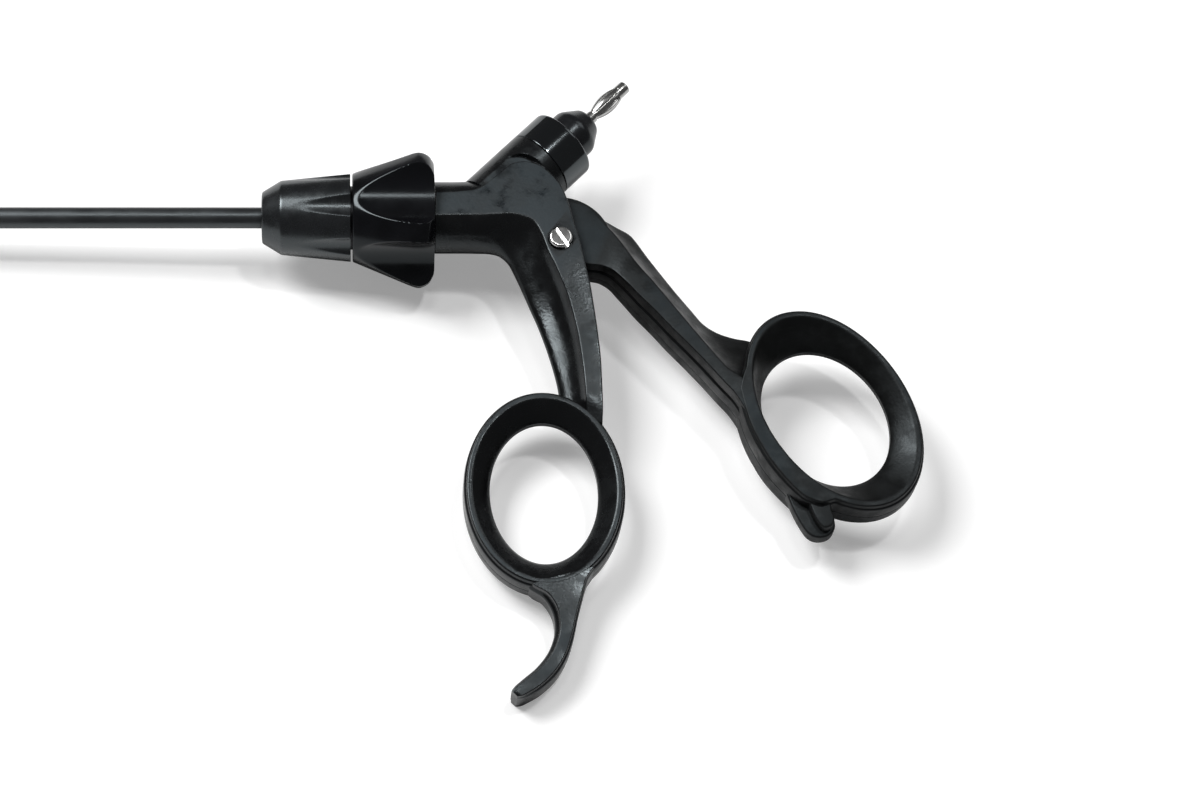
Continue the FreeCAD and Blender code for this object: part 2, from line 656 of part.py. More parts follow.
def lever_plate():
    """The lever's outline in the handle's plane."""
    points = [(81.0, -0.9), (84.8, -2.8), (87.6, -5.0), (94.9, -16.2), (101.4, -26.0), (104.9, -29.6),
              (109.0, -31.6), (114.0, -32.0), (122.0, -50.0), (118.0, -66.0), (129.4, -74.6),
              (130.0, -77.6), (130.3, -80.4), (128.6, -82.0), (126.2, -81.4), (123.8, -76.8),
              (115.6, -69.8), (111.2, -62.0), (109.4, -52.6), (104.4, -44.0), (95.6, -33.2),
              (85.6, -22.0), (80.4, -16.8), (77.0, -15.7), (PIVOT_X, PIVOT_Y - 4.9), (PIVOT_X, PIVOT_Y)]
    return slab(points, THUMB_Z_LEVER + 1, smooth=((2, 7), (11, 14), (14, 22)))


def lever_body():
    """Tang, head and arm with the tang's thickness growing to the arm's."""
    hub = Part.makeCylinder(TANG_HUB_R, 20, PIVOT - V(0, 0, 10), Z_DIR)
    head = Part.makeCylinder(HEAD_R, 20, PIVOT - V(0, 0, 10), Z_DIR)
    head = head.common(sector_prism(116.0, -30.0, 10))
    plate = lever_plate().fuse([hub, head])
    along = V(math.cos(math.radians(-43)), math.sin(math.radians(-43)), 0)
    across = V(-along.y, along.x, 0)
    profile = [(-30, 0), (-30, TANG_Z), (HEAD_R + 0.2, TANG_Z), (LEVER_WIDE_AT, LEVER_Z),
               (60, THUMB_Z_LEVER), (120, THUMB_Z_LEVER), (120, 0)]
    upper = [PIVOT + along * d + V(0, 0, z) - across * 60 for d, z in profile]
    lower = [PIVOT + along * d - V(0, 0, z) - across * 60 for d, z in profile]
    envelope = Part.Face(Part.makePolygon(upper + upper[:1])).extrude(across * 120)
    envelope = envelope.fuse(Part.Face(Part.makePolygon(lower + lower[:1])).extrude(across * 120))
    return plate.common(envelope)


def lever_scoop():
    """The hollow along the lever's upper side on both flanks, cut as a fan of sections."""
    # crest at the mid-plane, edge of the flat, half thickness of the flat there
    stations = [
        ((84.6, 0.6), (81.0, -2.6), 5.2),
        ((85.8, -2.8), (82.0, -6.2), 5.7),
        ((88.6, -6.6), (84.8, -11.0), 6.3),
        ((95.4, -16.2), (89.6, -18.6), 6.8),
        ((101.6, -25.8), (95.6, -26.4), 6.9),
        ((105.8, -30.0), (102.0, -35.0), 7.0),
        ((111.2, -32.0), (108.6, -43.0), 7.0),
        ((116.0, -33.0), (116.0, -45.0), 7.0),
    ]
    cutters = []
    for side in (1, -1):
        wires = []
        for crest, edge, half in stations:
            low = V(crest[0], crest[1], side * 1.6)
            high = V(edge[0], edge[1], side * half)
            out = (V(crest[0], crest[1], 0) - V(edge[0], edge[1], 0)).normalize() * 8
            middle = (low + high) * 0.5 - V(0, 0, side * 1.3)
            far_low = low + out
            far_high = V(far_low.x, far_low.y, side * 12)
            top = V(high.x, high.y, side * 12)
            wires.append(Part.Wire([Part.Arc(high, middle, low).toShape(), Part.makeLine(low, far_low),
                                    Part.makeLine(far_low, far_high), Part.makeLine(far_high, top),
                                    Part.makeLine(top, high)]))
        cutters.append(Part.makeLoft(wires, True, False, False, 3))
    return cutters


def thumb_ring():
    """The oval thumb ring: deep where it meets the lever and thinner on its far side."""
    centre = (THUMB_X + THUMB_RIM_SHIFT[0], THUMB_Y + THUMB_RIM_SHIFT[1])
    ring = oval_prism(centre, THUMB_OUTER, THUMB_Z_LEVER + 1, THUMB_LEAN)
    near = THUMB_X - THUMB_OUTER[0] + 4
    far = THUMB_X + THUMB_OUTER[0] + 4
    corners = [V(near - 20, 0, -THUMB_Z_LEVER), V(near - 20, 0, THUMB_Z_LEVER),
               V(near, 0, THUMB_Z_LEVER), V(far, 0, THUMB_Z_FAR), V(far + 10, 0, THUMB_Z_FAR),
               V(far + 10, 0, -THUMB_Z_FAR), V(far, 0, -THUMB_Z_FAR), V(near, 0, -THUMB_Z_LEVER)]
    wedge = Part.Face(Part.makePolygon(corners + corners[:1])).extrude(V(0, -100, 0))
    return ring.common(wedge)


def ball_side():
    """The direction from the pivot to the ball, at half the lever's travel from upright."""
    turn = math.radians(LEVER_TRAVEL / 2)
    return V(-math.sin(turn), math.cos(turn), 0)


def socket_block():
    """The round block of steel that fills the head round the ball."""
    base = PIVOT + ball_side() * (-PIVOT_Y - SOCKET_BLOCK_R + SOCKET_OPEN)
    return Part.makeCylinder(SOCKET_BLOCK_R, 2 * SOCKET_BLOCK_R, base, ball_side())


def socket_slot(radius, opening):
    """The channel in the lever's head that the ball stands in, open at its top."""
    up = ball_side()
    start = PIVOT + up * (-PIVOT_Y - opening)
    channel = Part.makeSphere(radius, start)
    return channel.fuse(Part.makeCylinder(radius, HEAD_R, start, up))


def neck_slot():
    """The mouth in front of the ball where the rod enters the head."""
    half = ROD_R + RUN + 0.25
    points = [(BALL_X + 1.5, -2.4), (BALL_X + 1.5, 12), (BALL_X - 14, 12), (BALL_X - 14, -6.0),
              (BALL_X - 5, -4.6)]
    return slab(points, half)


def socket_insert():
    """The steel block in the lever's head that takes the ball's load."""
    return socket_block().cut(socket_slot(BALL_R + RUN, SOCKET_OPEN)).cut(neck_slot())


def thumb_lever():
    centre = (THUMB_X, THUMB_Y)
    body = lever_body().fuse(thumb_ring())
    for cutter in lever_scoop():
        body = body.cut(cutter)
    body = body.fuse(thumb_ring())
    hole = waisted_hole(centre, THUMB_HOLE, THUMB_RIM, THUMB_Z_LEVER, THUMB_LEAN, THUMB_RIM_SHIFT)
    body = body.cut(hole)
    body = body.cut(socket_block())
    body = body.cut(socket_slot(BALL_R + FREE, SOCKET_OPEN)).cut(neck_slot())
    body = body.cut(Part.makeCylinder(PIVOT_BUSH_R + RUN, 30, PIVOT - V(0, 0, 15), Z_DIR))
    for side in (1, -1):
        seat = PIVOT + V(0, 0, side * (TANG_Z - WASHER))
        body = body.cut(Part.makeCylinder(TANG_HUB_R - 1.2, 3, seat, Z_DIR * side))
    return body.removeSplitter()


def lever_washers():
    """Two thrust washers let into the tang."""
    rings = []
    for side in (1, -1):
        seat = PIVOT + V(0, 0, side * (TANG_Z - WASHER))
        ring = Part.makeCylinder(TANG_HUB_R - 1.2, WASHER, seat, Z_DIR * side)
        rings.append(ring.cut(Part.makeCylinder(PIVOT_BUSH_R + RUN, WASHER, seat, Z_DIR * side)))
    return Part.makeCompound(rings)


# Plug post


def post_cap():
    """The glossy screwed cap on the post."""
    cap = post_tube(POST_R, CAP_START + 0.12, CAP_END)
    rim = lambda e: isinstance(e.Curve, Part.Circle) and e.CenterOfMass.distanceToPoint(at_post(CAP_END)) < 1
    return rounded(cap, rim, CAP_EDGE).cut(post_tube(INSERT_R, CAP_START, CAP_END + 1))


def post_nipple():
    """The insulating nipple round the foot of the pin."""
    def at(distance, radius):
        return V(distance, radius, 0)
    outline = [at(CAP_END, INSERT_R), at(CAP_END, NIPPLE_R), at(NIPPLE_SHOULDER, NIPPLE_R),
               at(NIPPLE_END - 0.6, NIPPLE_END_R + 0.7), at(NIPPLE_END, NIPPLE_END_R),
               at(NIPPLE_END, PIN_NECK_R), at(CAP_END - 4, PIN_NECK_R), at(CAP_END - 4, INSERT_R)]
    face = Part.Face(Part.makePolygon(outline + outline[:1]))
    nipple = face.revolve(V(0, 0, 0), X_DIR, 360)
    return onto_post(nipple)


def onto_post(shape):
    """Moves a shape made about the X axis from the origin onto the post's axis."""
    shape.rotate(V(0, 0, 0), Z_DIR, POST_ANGLE)
    shape.translate(V(POST_ROOT_X, 0, 0))
    return shape


def pin_core():
    """The pin's solid core and its end cylinder."""
    end = NIPPLE_END + PIN_LENGTH
    core = post_tube(PIN_CORE_R, NIPPLE_END + 1.0, end - 1.0)
    foot = post_tube(PIN_NECK_R, CAP_START + 1.0, NIPPLE_END + 1.8)
    tip = post_tube(PIN_TIP_R, end - 2.6, end)
    tip = rounded(tip, lambda e: e.CenterOfMass.distanceToPoint(at_post(end)) < 0.5, 0.3)
    return core.fuse([foot, tip])


def pin_cage():
    """The bowed contact leaves round the core."""
    start = NIPPLE_END + 1.8
    end = NIPPLE_END + PIN_LENGTH - 2.6
    middle = (start + end) / 2
    root = PIN_CORE_R + 0.2
    top = Part.Arc(V(start, root + 0.3, 0), V(middle, PIN_BULGE_R, 0), V(end, root + 0.3, 0))
    low = Part.Arc(V(end, root, 0), V(middle, PIN_BULGE_R - 0.3, 0), V(start, root, 0))
    face = Part.Face(Part.Wire([top.toShape(), Part.makeLine(V(end, root + 0.3, 0), V(end, root, 0)),
                                low.toShape(), Part.makeLine(V(start, root, 0), V(start, root + 0.3, 0))]))
    leaf = face.revolve(V(0, 0, 0), X_DIR, 360.0 / LEAVES - 18)
    bands = [onto_post(tube_x(root + 0.3, start, start + 1.0, PIN_CORE_R)),
             onto_post(tube_x(root + 0.3, end - 1.0, end, PIN_CORE_R))]
    leaves = [onto_post(about_x(leaf, index * 360 / LEAVES)) for index in range(LEAVES)]
    return bands[0].fuse(bands[1:] + leaves)


def contact_insert():
    """The brass sleeve in the post that joins the pin to the plunger."""
    sleeve = post_tube(INSERT_R, 9.0, CAP_END - 4)
    sleeve = sleeve.cut(post_tube(PLUNGER_R + RUN, 8.0, CAP_START + 1.0))
    return sleeve.cut(post_tube(PIN_NECK_R, CAP_START + 1.0, CAP_END))


def contact_plunger():
    """The sprung brass plunger that feeds the rod."""
    start = ROD_R / math.sin(math.radians(POST_ANGLE)) + PLUNGER_R + 0.1
    return post_tube(PLUNGER_R, start, 14.0)


def contact_spring():
    """The coil spring that presses the plunger on the rod."""
    height = CAP_START + 1.0 - 14.0
    radius = PLUNGER_R - SPRING_WIRE - 0.05
    pitch = (height - 2 * SPRING_WIRE) / SPRING_TURNS
    helix = Part.makeHelix(pitch, pitch * SPRING_TURNS, radius)
    wire = Part.Wire(helix.Edges)
    section = Part.Wire([Part.makeCircle(SPRING_WIRE, V(radius, 0, 0), V(0, 1, 0))])
    coil = wire.makePipeShell([section], True, True)
    coil.translate(V(0, 0, SPRING_WIRE))
    coil.rotate(V(0, 0, 0), V(0, 1, 0), 90)
    coil.translate(V(14.0, 0, 0))
    return onto_post(coil)


NODES = {
    "sheath_tube": sheath_tube, "sheath_insulation": sheath_insulation, "draw_rod": draw_rod,
    "rod_spacers": rod_spacers, "ball_end": ball_end, "drive_yoke": drive_yoke,
    "drive_pin": drive_pin, "jaw_pin": jaw_pin, "tip_fork": tip_fork, "blade_upper": blade_upper,
    "blade_lower": blade_lower, "nose_nut": nose_nut, "nose_seal": nose_seal, "collet": collet,
    "hub_sleeve": hub_sleeve, "rotation_knob": rotation_knob, "knob_grub": knob_grub,
    "barrel_bush": barrel_bush, "retaining_ring": retaining_ring, "handle_body": handle_body,
    "pivot_screw": pivot_screw, "pivot_nut": pivot_nut, "pivot_bush": pivot_bush,
    "thumb_lever": thumb_lever, "socket_insert": socket_insert, "lever_washers": lever_washers,
    "post_cap": post_cap, "post_nipple": post_nipple, "pin_core": pin_core, "pin_cage": pin_cage,
    "contact_insert": contact_insert, "contact_plunger": contact_plunger,
    "contact_spring": contact_spring,
}

os.makedirs("parts", exist_ok=True)
for name, make in NODES.items():
    shape = make()
    shape.exportStep(os.path.join("parts", name + ".step"))
    box = shape.BoundBox
    print(name, len(shape.Solids), "valid" if shape.isValid() else "INVALID", round(shape.Volume, 1),
          [round(v, 1) for v in (box.XMin, box.XMax, box.YMin, box.YMax, box.ZMin, box.ZMax)])
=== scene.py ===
import bmesh
import bpy
import json
import math
import numpy as np
from mathutils import Matrix


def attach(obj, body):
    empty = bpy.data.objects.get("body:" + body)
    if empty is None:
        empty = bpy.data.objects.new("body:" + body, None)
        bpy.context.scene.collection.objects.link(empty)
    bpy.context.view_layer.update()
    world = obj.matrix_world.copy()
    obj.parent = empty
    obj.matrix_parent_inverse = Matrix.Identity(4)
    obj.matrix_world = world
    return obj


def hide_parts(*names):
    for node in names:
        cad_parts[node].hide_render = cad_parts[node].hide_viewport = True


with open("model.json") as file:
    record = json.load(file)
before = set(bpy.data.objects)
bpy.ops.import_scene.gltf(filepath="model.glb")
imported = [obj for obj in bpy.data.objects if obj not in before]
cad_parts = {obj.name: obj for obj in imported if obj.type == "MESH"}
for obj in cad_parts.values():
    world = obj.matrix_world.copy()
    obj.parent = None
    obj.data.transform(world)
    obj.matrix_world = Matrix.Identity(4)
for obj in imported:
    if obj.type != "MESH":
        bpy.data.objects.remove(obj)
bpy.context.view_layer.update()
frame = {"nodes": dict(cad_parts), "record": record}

scene = bpy.context.scene
scene.view_settings.view_transform = "Standard"


# Table, lamps and camera
# The instrument lies on a white table under one large soft lamp from the upper left, a weak fill
# from the upper right and two small ones overhead, seen from above by a long lens. The table slopes
# so that the knob, the shaft and the hook rest on it.

MM = 0.001
CAMERA_PLACE = (0.02050, -0.31893, 0.63772)
CAMERA_AIM = (0.07824, -0.04712, 0.0)
CAMERA_ROLL = -2.316
TABLE_HALF = 4.0
TABLE_DROP = 0.0169
TABLE_SLOPE_X = 0.040
TABLE_SLOPE_Y = 0.115
TABLE_LEVEL_X = 0.036
TABLE_GREY = 0.80
TABLE_LIFT = 0.28
ROOM_LIGHT = 0.10
LAMP_AIM = (0.04, -0.03, 0.0)


def looking(place, aim, roll=0.0):
    """The matrix of a lamp or camera at a place, turned to face a point: its back points away from
    it, its side is square to the back and to +Y, its up to both; then side and up are turned about
    the back by the roll in degrees."""
    back = np.array(place, float) - np.array(aim, float)
    back = back / np.linalg.norm(back)
    side = np.cross((0.0, 1.0, 0.0), back)
    side = side / np.linalg.norm(side)
    up = np.cross(back, side)
    turn = math.radians(roll)
    right = math.cos(turn) * side + math.sin(turn) * up
    up = math.cos(turn) * up - math.sin(turn) * side
    return Matrix([(right[i], up[i], back[i], place[i]) for i in range(3)] + [(0, 0, 0, 1)])


camera_data = bpy.data.cameras.new("long_lens")
camera_data.lens = 90
camera_data.sensor_width = 36
camera_data.clip_end = 20
camera = bpy.data.objects.new("long_lens", camera_data)
camera.matrix_world = looking(CAMERA_PLACE, CAMERA_AIM, CAMERA_ROLL)
scene.collection.objects.link(camera)
scene.camera = camera

corner_x = np.array([-TABLE_HALF, TABLE_HALF, TABLE_HALF, -TABLE_HALF])
corner_y = np.array([-TABLE_HALF, -TABLE_HALF, TABLE_HALF, TABLE_HALF])
corner_z = -TABLE_DROP - TABLE_SLOPE_X * (corner_x - TABLE_LEVEL_X) - TABLE_SLOPE_Y * corner_y
table_corners = np.stack([corner_x, corner_y, corner_z], axis=1).tolist()
table_mesh = bpy.data.meshes.new("table")
table_mesh.from_pydata(table_corners, [], [(0, 1, 2, 3)])
table = bpy.data.objects.new("table", table_mesh)
scene.collection.objects.link(table)

# The table lights the object as a plain matte; only for rays from the camera, and for those that
# come through something clear, is it lifted to white
table_paint = bpy.data.materials.new("table_white")
table_paint.use_nodes = True
nodes, links = table_paint.node_tree.nodes, table_paint.node_tree.links
nodes.clear()
output = nodes.new("ShaderNodeOutputMaterial")
rays = nodes.new("ShaderNodeLightPath")
matte = nodes.new("ShaderNodeBsdfDiffuse")
matte.inputs["Color"].default_value = (TABLE_GREY, TABLE_GREY, TABLE_GREY, 1)
lift = nodes.new("ShaderNodeEmission")
lift.inputs["Color"].default_value = (1, 1, 1, 1)
lift.inputs["Strength"].default_value = TABLE_LIFT
lifted = nodes.new("ShaderNodeAddShader")
choice = nodes.new("ShaderNodeMixShader")
seen = nodes.new("ShaderNodeMath")
seen.operation = "ADD"
seen.use_clamp = True
links.new(rays.outputs["Is Camera Ray"], seen.inputs[0])
links.new(rays.outputs["Is Transmission Ray"], seen.inputs[1])
links.new(matte.outputs[0], lifted.inputs[0])
links.new(lift.outputs[0], lifted.inputs[1])
links.new(seen.outputs[0], choice.inputs[0])
links.new(matte.outputs[0], choice.inputs[1])
links.new(lifted.outputs[0], choice.inputs[2])
links.new(choice.outputs[0], output.inputs["Surface"])
table_mesh.materials.append(table_paint)

# A dim even room, which the camera sees as white
world = bpy.data.worlds.new("room")
world.use_nodes = True
scene.world = world
nodes, links = world.node_tree.nodes, world.node_tree.links
nodes.clear()
output = nodes.new("ShaderNodeOutputWorld")
rays = nodes.new("ShaderNodeLightPath")
room = nodes.new("ShaderNodeBackground")
room.inputs["Color"].default_value = (1, 1, 1, 1)
room.inputs["Strength"].default_value = ROOM_LIGHT
white = nodes.new("ShaderNodeBackground")
white.inputs["Color"].default_value = (1, 1, 1, 1)
white.inputs["Strength"].default_value = 1.0
choice = nodes.new("ShaderNodeMixShader")
links.new(rays.outputs["Is Camera Ray"], choice.inputs[0])
links.new(room.outputs[0], choice.inputs[1])
links.new(white.outputs[0], choice.inputs[2])
links.new(choice.outputs[0], output.inputs["Surface"])


def soft_lamp(name, place, aim, size, power):
    """A square lamp at a place, turned to face a point."""
    data = bpy.data.lights.new(name, "AREA")
    data.size = size
    data.energy = power
    lamp = bpy.data.objects.new(name, data)
    lamp.matrix_world = looking(place, aim)
    scene.collection.objects.link(lamp)


soft_lamp("key_lamp", (-0.56, 0.42, 0.99), LAMP_AIM, size=0.55, power=15.0)
soft_lamp("fill_lamp", (0.78, 0.60, 0.80), LAMP_AIM, size=0.60, power=2.0)
soft_lamp("overhead_lamp", (0.37, 0.26, 1.22), LAMP_AIM, size=0.10, power=3.2)
soft_lamp("top_lamp", (0.0, 0.20, 1.22), (0.0, 0.0, 0.0), size=0.16, power=1.2)


# Shaft sleeve
# Black polymer sleeve shrunk over the steel tube of the shaft, about 0.2 mm thick and 5 mm outside.
# It is one long tube with rounded ends; its surface is satin with a fine grain.

SHAFT_R = 2.5
TUBE_R = 2.3
SHAFT_FRONT = -306.0
SHAFT_REAR = -0.1
SLEEVE_EDGE = 0.12
MOST_OF_EDGE = 0.48
SHARP_ANGLE = 32
COOL_SHEEN = (0.86, 0.96, 1.0, 1)


def about_shaft(along, radius, angle):
    """Point at a distance along the shaft axis and a radius; the angle runs from +Z towards +Y."""
    point = np.broadcast_arrays(along, radius * np.sin(angle), radius * np.cos(angle))
    return np.stack(point, axis=-1)


def soft_rows(corners, cuts, steps=6):
    """Rounds the corners of many closed sections at once: each corner with a cut becomes a
    quadratic curve that starts and ends that far along its two edges, or just short of half way
    on a short edge; a corner with no cut stays one point."""
    corners = np.asarray(corners, float)
    before = np.roll(corners, 1, axis=1) - corners
    after = np.roll(corners, -1, axis=1) - corners
    runs = []
    for i, cut in enumerate(cuts):
        here = corners[:, i:i + 1]
        if cut == 0:
            runs.append(here)
            continue
        back = np.linalg.norm(before[:, i:i + 1], axis=2, keepdims=True)
        ahead = np.linalg.norm(after[:, i:i + 1], axis=2, keepdims=True)
        start = here + before[:, i:i + 1] * np.minimum(cut / back, MOST_OF_EDGE)
        end = here + after[:, i:i + 1] * np.minimum(cut / ahead, MOST_OF_EDGE)
        t = np.linspace(0, 1, steps)[None, :, None]
        runs.append((1 - t) ** 2 * start + 2 * t * (1 - t) * here + t ** 2 * end)
    return np.concatenate(runs, axis=1)


def surface(name, grid, closed_rows=False):
    """Mesh of a grid of points in millimetres. The second index closes on itself; the first closes
    too, or ends in two flat faces. Faces are turned outwards."""
    grid = np.asarray(grid, float)
    count, around = grid.shape[:2]
    index = np.arange(count * around).reshape(count, around)
    beside = np.roll(index, -1, axis=1)
    if closed_rows:
        ahead, ahead_beside = np.roll(index, -1, axis=0), np.roll(beside, -1, axis=0)
        quads = np.stack([index, beside, ahead_beside, ahead], axis=-1)
    else:
        quads = np.stack([index[:-1], beside[:-1], beside[1:], index[1:]], axis=-1)
    faces = quads.reshape(-1, 4).tolist()
    if not closed_rows:
        faces += [index[0][::-1].tolist(), index[-1].tolist()]
    mesh = bpy.data.meshes.new(name)
    mesh.from_pydata((grid.reshape(-1, 3) * MM).tolist(), [], faces)
    return turned_outwards(name, mesh)


def soften(mesh):
    """Smooth shading that is split where faces meet at more than the sharp angle."""
    mesh.shade_smooth()
    mesh.set_sharp_from_angle(angle=math.radians(SHARP_ANGLE))


def turned_outwards(name, mesh):
    """An object of the mesh with its faces turned outwards and its shading softened."""
    work = bmesh.new()
    work.from_mesh(mesh)
    bmesh.ops.recalc_face_normals(work, faces=work.faces)
    work.to_mesh(mesh)
    work.free()
    soften(mesh)
    piece = bpy.data.objects.new(name, mesh)
    scene.collection.objects.link(piece)
    return piece


def turned(name, section, around=128, place=about_shaft):
    """A solid of revolution: a closed section of (along, radius) carried round an axis."""
    section = np.asarray(section, float)
    angle = np.linspace(0, 2 * math.pi, around, endpoint=False)
    grid = place(section[:, 0][:, None], section[:, 1][:, None], angle[None, :])
    return surface(name, grid, closed_rows=True)


def soft_section(corners, cuts, steps=6):
    """One closed section of (along, radius) corners with each corner rounded by its cut."""
    flat = np.array([[(a, r, 0.0) for a, r in corners]])
    return soft_rows(flat, cuts, steps)[0, :, :2]


def add_node(tree, kind, **values):
    """A node with its sockets set by name; spaces in a name are written as underscores."""
    node = tree.nodes.new(kind)
    for key, value in values.items():
        node.inputs[key.replace("_", " ")].default_value = value
    return node


def two_tone(tree, start, end, dark, light):
    """A colour ramp that goes from the dark to the light colour between two positions."""
    ramp = tree.nodes.new("ShaderNodeValToRGB")
    for stop, position, colour in zip(ramp.color_ramp.elements, (start, end), (dark, light)):
        stop.position = position
        stop.color = (*colour, 1)
    return ramp


def moulded_plastic(name, deep, pale, rough, grain, relief, patch=55.0, gloss=0.5, spread=0.1,
                    curved=1.0):
    """Moulded plastic: fine grain in the relief, slow clouds in the colour, and clouds with finer
    wear in the roughness, which varies by the spread. With curved below one, the colour clouds keep
    to the flats, which makes the flats paler than the curved faces: partly stain, partly painted
    sheen for the light reflected by faces turned along Z; and the roughness of the curved faces is
    that share of the flats' roughness."""
    paint = bpy.data.materials.new(name)
    paint.use_nodes = True
    tree = paint.node_tree
    shader = tree.nodes["Principled BSDF"]
    shader.inputs["Specular IOR Level"].default_value = gloss
    shader.inputs["Specular Tint"].default_value = COOL_SHEEN
    place = tree.nodes.new("ShaderNodeTexCoord")
    cloud = add_node(tree, "ShaderNodeTexNoise", Scale=patch, Detail=5.0, Roughness=0.62)
    tint = two_tone(tree, 0.42, 0.60, deep, pale)
    wear = add_node(tree, "ShaderNodeTexNoise", Scale=patch * 5, Detail=4.0, Roughness=0.6)
    blend = tree.nodes.new("ShaderNodeMath")
    dull = add_node(tree, "ShaderNodeMapRange", From_Min=0.85, From_Max=1.15,
                    To_Min=rough * (1 - spread), To_Max=rough * (1 + 2 * spread))
    skin = add_node(tree, "ShaderNodeTexNoise", Scale=grain, Detail=3.0, Roughness=0.55)
    bump = add_node(tree, "ShaderNodeBump", Strength=0.55, Distance=relief)
    for texture in (cloud, wear, skin):
        tree.links.new(place.outputs["Object"], texture.inputs["Vector"])
    tree.links.new(cloud.outputs["Fac"], tint.inputs["Fac"])
    tree.links.new(tint.outputs["Color"], shader.inputs["Base Color"])
    tree.links.new(cloud.outputs["Fac"], blend.inputs[0])
    tree.links.new(wear.outputs["Fac"], blend.inputs[1])
    tree.links.new(blend.outputs[0], dull.inputs["Value"])
    tree.links.new(dull.outputs["Result"], shader.inputs["Roughness"])
    tree.links.new(skin.outputs["Fac"], bump.inputs["Height"])
    tree.links.new(bump.outputs["Normal"], shader.inputs["Normal"])
    # Painted sheen and stain: the colour clouds are kept to the faces turned along Z, so the flats
    # come out paler than the curved faces
    if curved < 1.0:
        flats = tree.nodes.new("ShaderNodeAttribute")
        flats.attribute_name = "flatness"
        flat_sheen_and_stain, finish = tree.nodes.new("ShaderNodeMath"), tree.nodes.new("ShaderNodeMath")
        flat_sheen_and_stain.operation = finish.operation = "MULTIPLY"
        share = add_node(tree, "ShaderNodeMapRange", To_Min=curved, To_Max=1.0)
        tree.links.new(cloud.outputs["Fac"], flat_sheen_and_stain.inputs[0])
        tree.links.new(flats.outputs["Fac"], flat_sheen_and_stain.inputs[1])
        tree.links.new(flat_sheen_and_stain.outputs[0], tint.inputs["Fac"])
        tree.links.new(flats.outputs["Fac"], share.inputs["Value"])
        tree.links.new(dull.outputs["Result"], finish.inputs[0])
        tree.links.new(share.outputs["Result"], finish.inputs[1])
        tree.links.new(finish.outputs[0], shader.inputs["Roughness"])
    return paint


sleeve_paint = moulded_plastic("insulation_sleeve", (0.010, 0.010, 0.011), (0.016, 0.016, 0.017),
                               rough=0.34, grain=1400.0, relief=0.00003, patch=40.0, gloss=0.8)
sleeve_corners = [(SHAFT_FRONT, TUBE_R), (SHAFT_FRONT, SHAFT_R),
                  (SHAFT_REAR, SHAFT_R), (SHAFT_REAR, TUBE_R)]
sleeve_cuts = (0, SLEEVE_EDGE, SLEEVE_EDGE, 0)
sleeve = turned("shaft_sleeve", soft_section(sleeve_corners, sleeve_cuts), around=96)
sleeve.data.materials.append(sleeve_paint)
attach(sleeve, "rotor")
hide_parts("sheath_insulation")


# Nose nut
# The fluted nut that clamps the shaft in the hub, moulded in semi-gloss black with six long finger
# flutes. It screws on the hub, a hair in front of the knob.

NUT_FRONT_R = 6.0
NUT_SHOULDER = (4.5, 8.75)
NUT_REAR = (20.8, 10.4)
NUT_BORE = 2.36
NUT_WALL = 4.0
NUT_SOCKET = 7.56
FLUTES = 6
FLUTE_R = 4.7
FLUTE_VALLEY = 9.2
FLUTE_TURN = -8.8
FLUTE_BLEND = 0.2
RUN_SPACING = 0.35
RUN_AROUND = 720
MISS_RISE = 40


def dished(name, section, hollows, hollow_r, valley, turn, blend, around):
    """A turned solid with round hollows along it: the radius is the softened smaller one of the
    section's and of the distance at which a ray from the axis meets a cylinder beside it. Rays
    that miss the cylinder rise steeply, so that the section's radius holds there."""
    section = np.asarray(section, float)
    angle = np.linspace(0, 2 * math.pi, around, endpoint=False)
    pitch = 2 * math.pi / hollows
    off = (angle - math.radians(turn) + pitch / 2) % pitch - pitch / 2
    far = valley + hollow_r
    aside = np.abs(far * np.sin(off))
    inside = np.maximum(hollow_r ** 2 - aside ** 2, 0)
    ray = far * np.cos(off) - np.sqrt(inside) + MISS_RISE * np.maximum(aside - hollow_r, 0)
    radius = section[:, 1][:, None]
    gap = radius - ray[None, :]
    spread = np.maximum(blend - np.abs(gap), 0) / blend
    radius = np.minimum(radius, ray[None, :]) - spread ** 2 * blend / 4
    grid = about_shaft(section[:, 0][:, None], radius, angle[None, :])
    return surface(name, grid, closed_rows=True)


def long_run(corners, cuts, spacing, bore=0.0):
    """A softened section with extra points along its straight runs outside the bore, so that
    hollows can shape them and the shading stays straight."""
    section = soft_section(corners, cuts)
    step = np.linalg.norm(np.roll(section, -1, axis=0) - section, axis=1)
    outside = np.maximum(section[:, 1], np.roll(section[:, 1], -1)) > bore
    pieces = np.maximum((outside * step / spacing).astype(int), 1)
    start = np.repeat(np.arange(len(section)), pieces)
    place = np.arange(len(start)) - np.repeat(np.cumsum(pieces) - pieces, pieces)
    share = (place / pieces[start])[:, None]
    return section[start] * (1 - share) + np.roll(section, -1, axis=0)[start] * share


nut_paint = moulded_plastic("nut_black", (0.004, 0.004, 0.0045), (0.007, 0.007, 0.008),
                            rough=0.25, grain=1100.0, relief=0.00001, patch=70.0, gloss=0.8)
nut_corners = [(0.0, NUT_BORE), (0.0, NUT_FRONT_R), NUT_SHOULDER, NUT_REAR,
               (NUT_REAR[0], NUT_SOCKET), (NUT_WALL, NUT_SOCKET), (NUT_WALL, NUT_BORE)]
nut_cuts = (0.15, 0.5, 0.3, 0.2, 0, 0, 0)
nut = dished("nut_body", long_run(nut_corners, nut_cuts, RUN_SPACING, NUT_SOCKET),
             FLUTES, FLUTE_R, FLUTE_VALLEY, FLUTE_TURN, FLUTE_BLEND, RUN_AROUND)
nut.data.materials.append(nut_paint)
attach(nut, "nut")
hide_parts("nose_nut")


# Rotation knob
# Five-lobed knob in glossy black, pressed on the hub and locked by a set screw in one valley. Thumb
# and finger turn it by the lobes; its rim rolls over into the flat rear face.

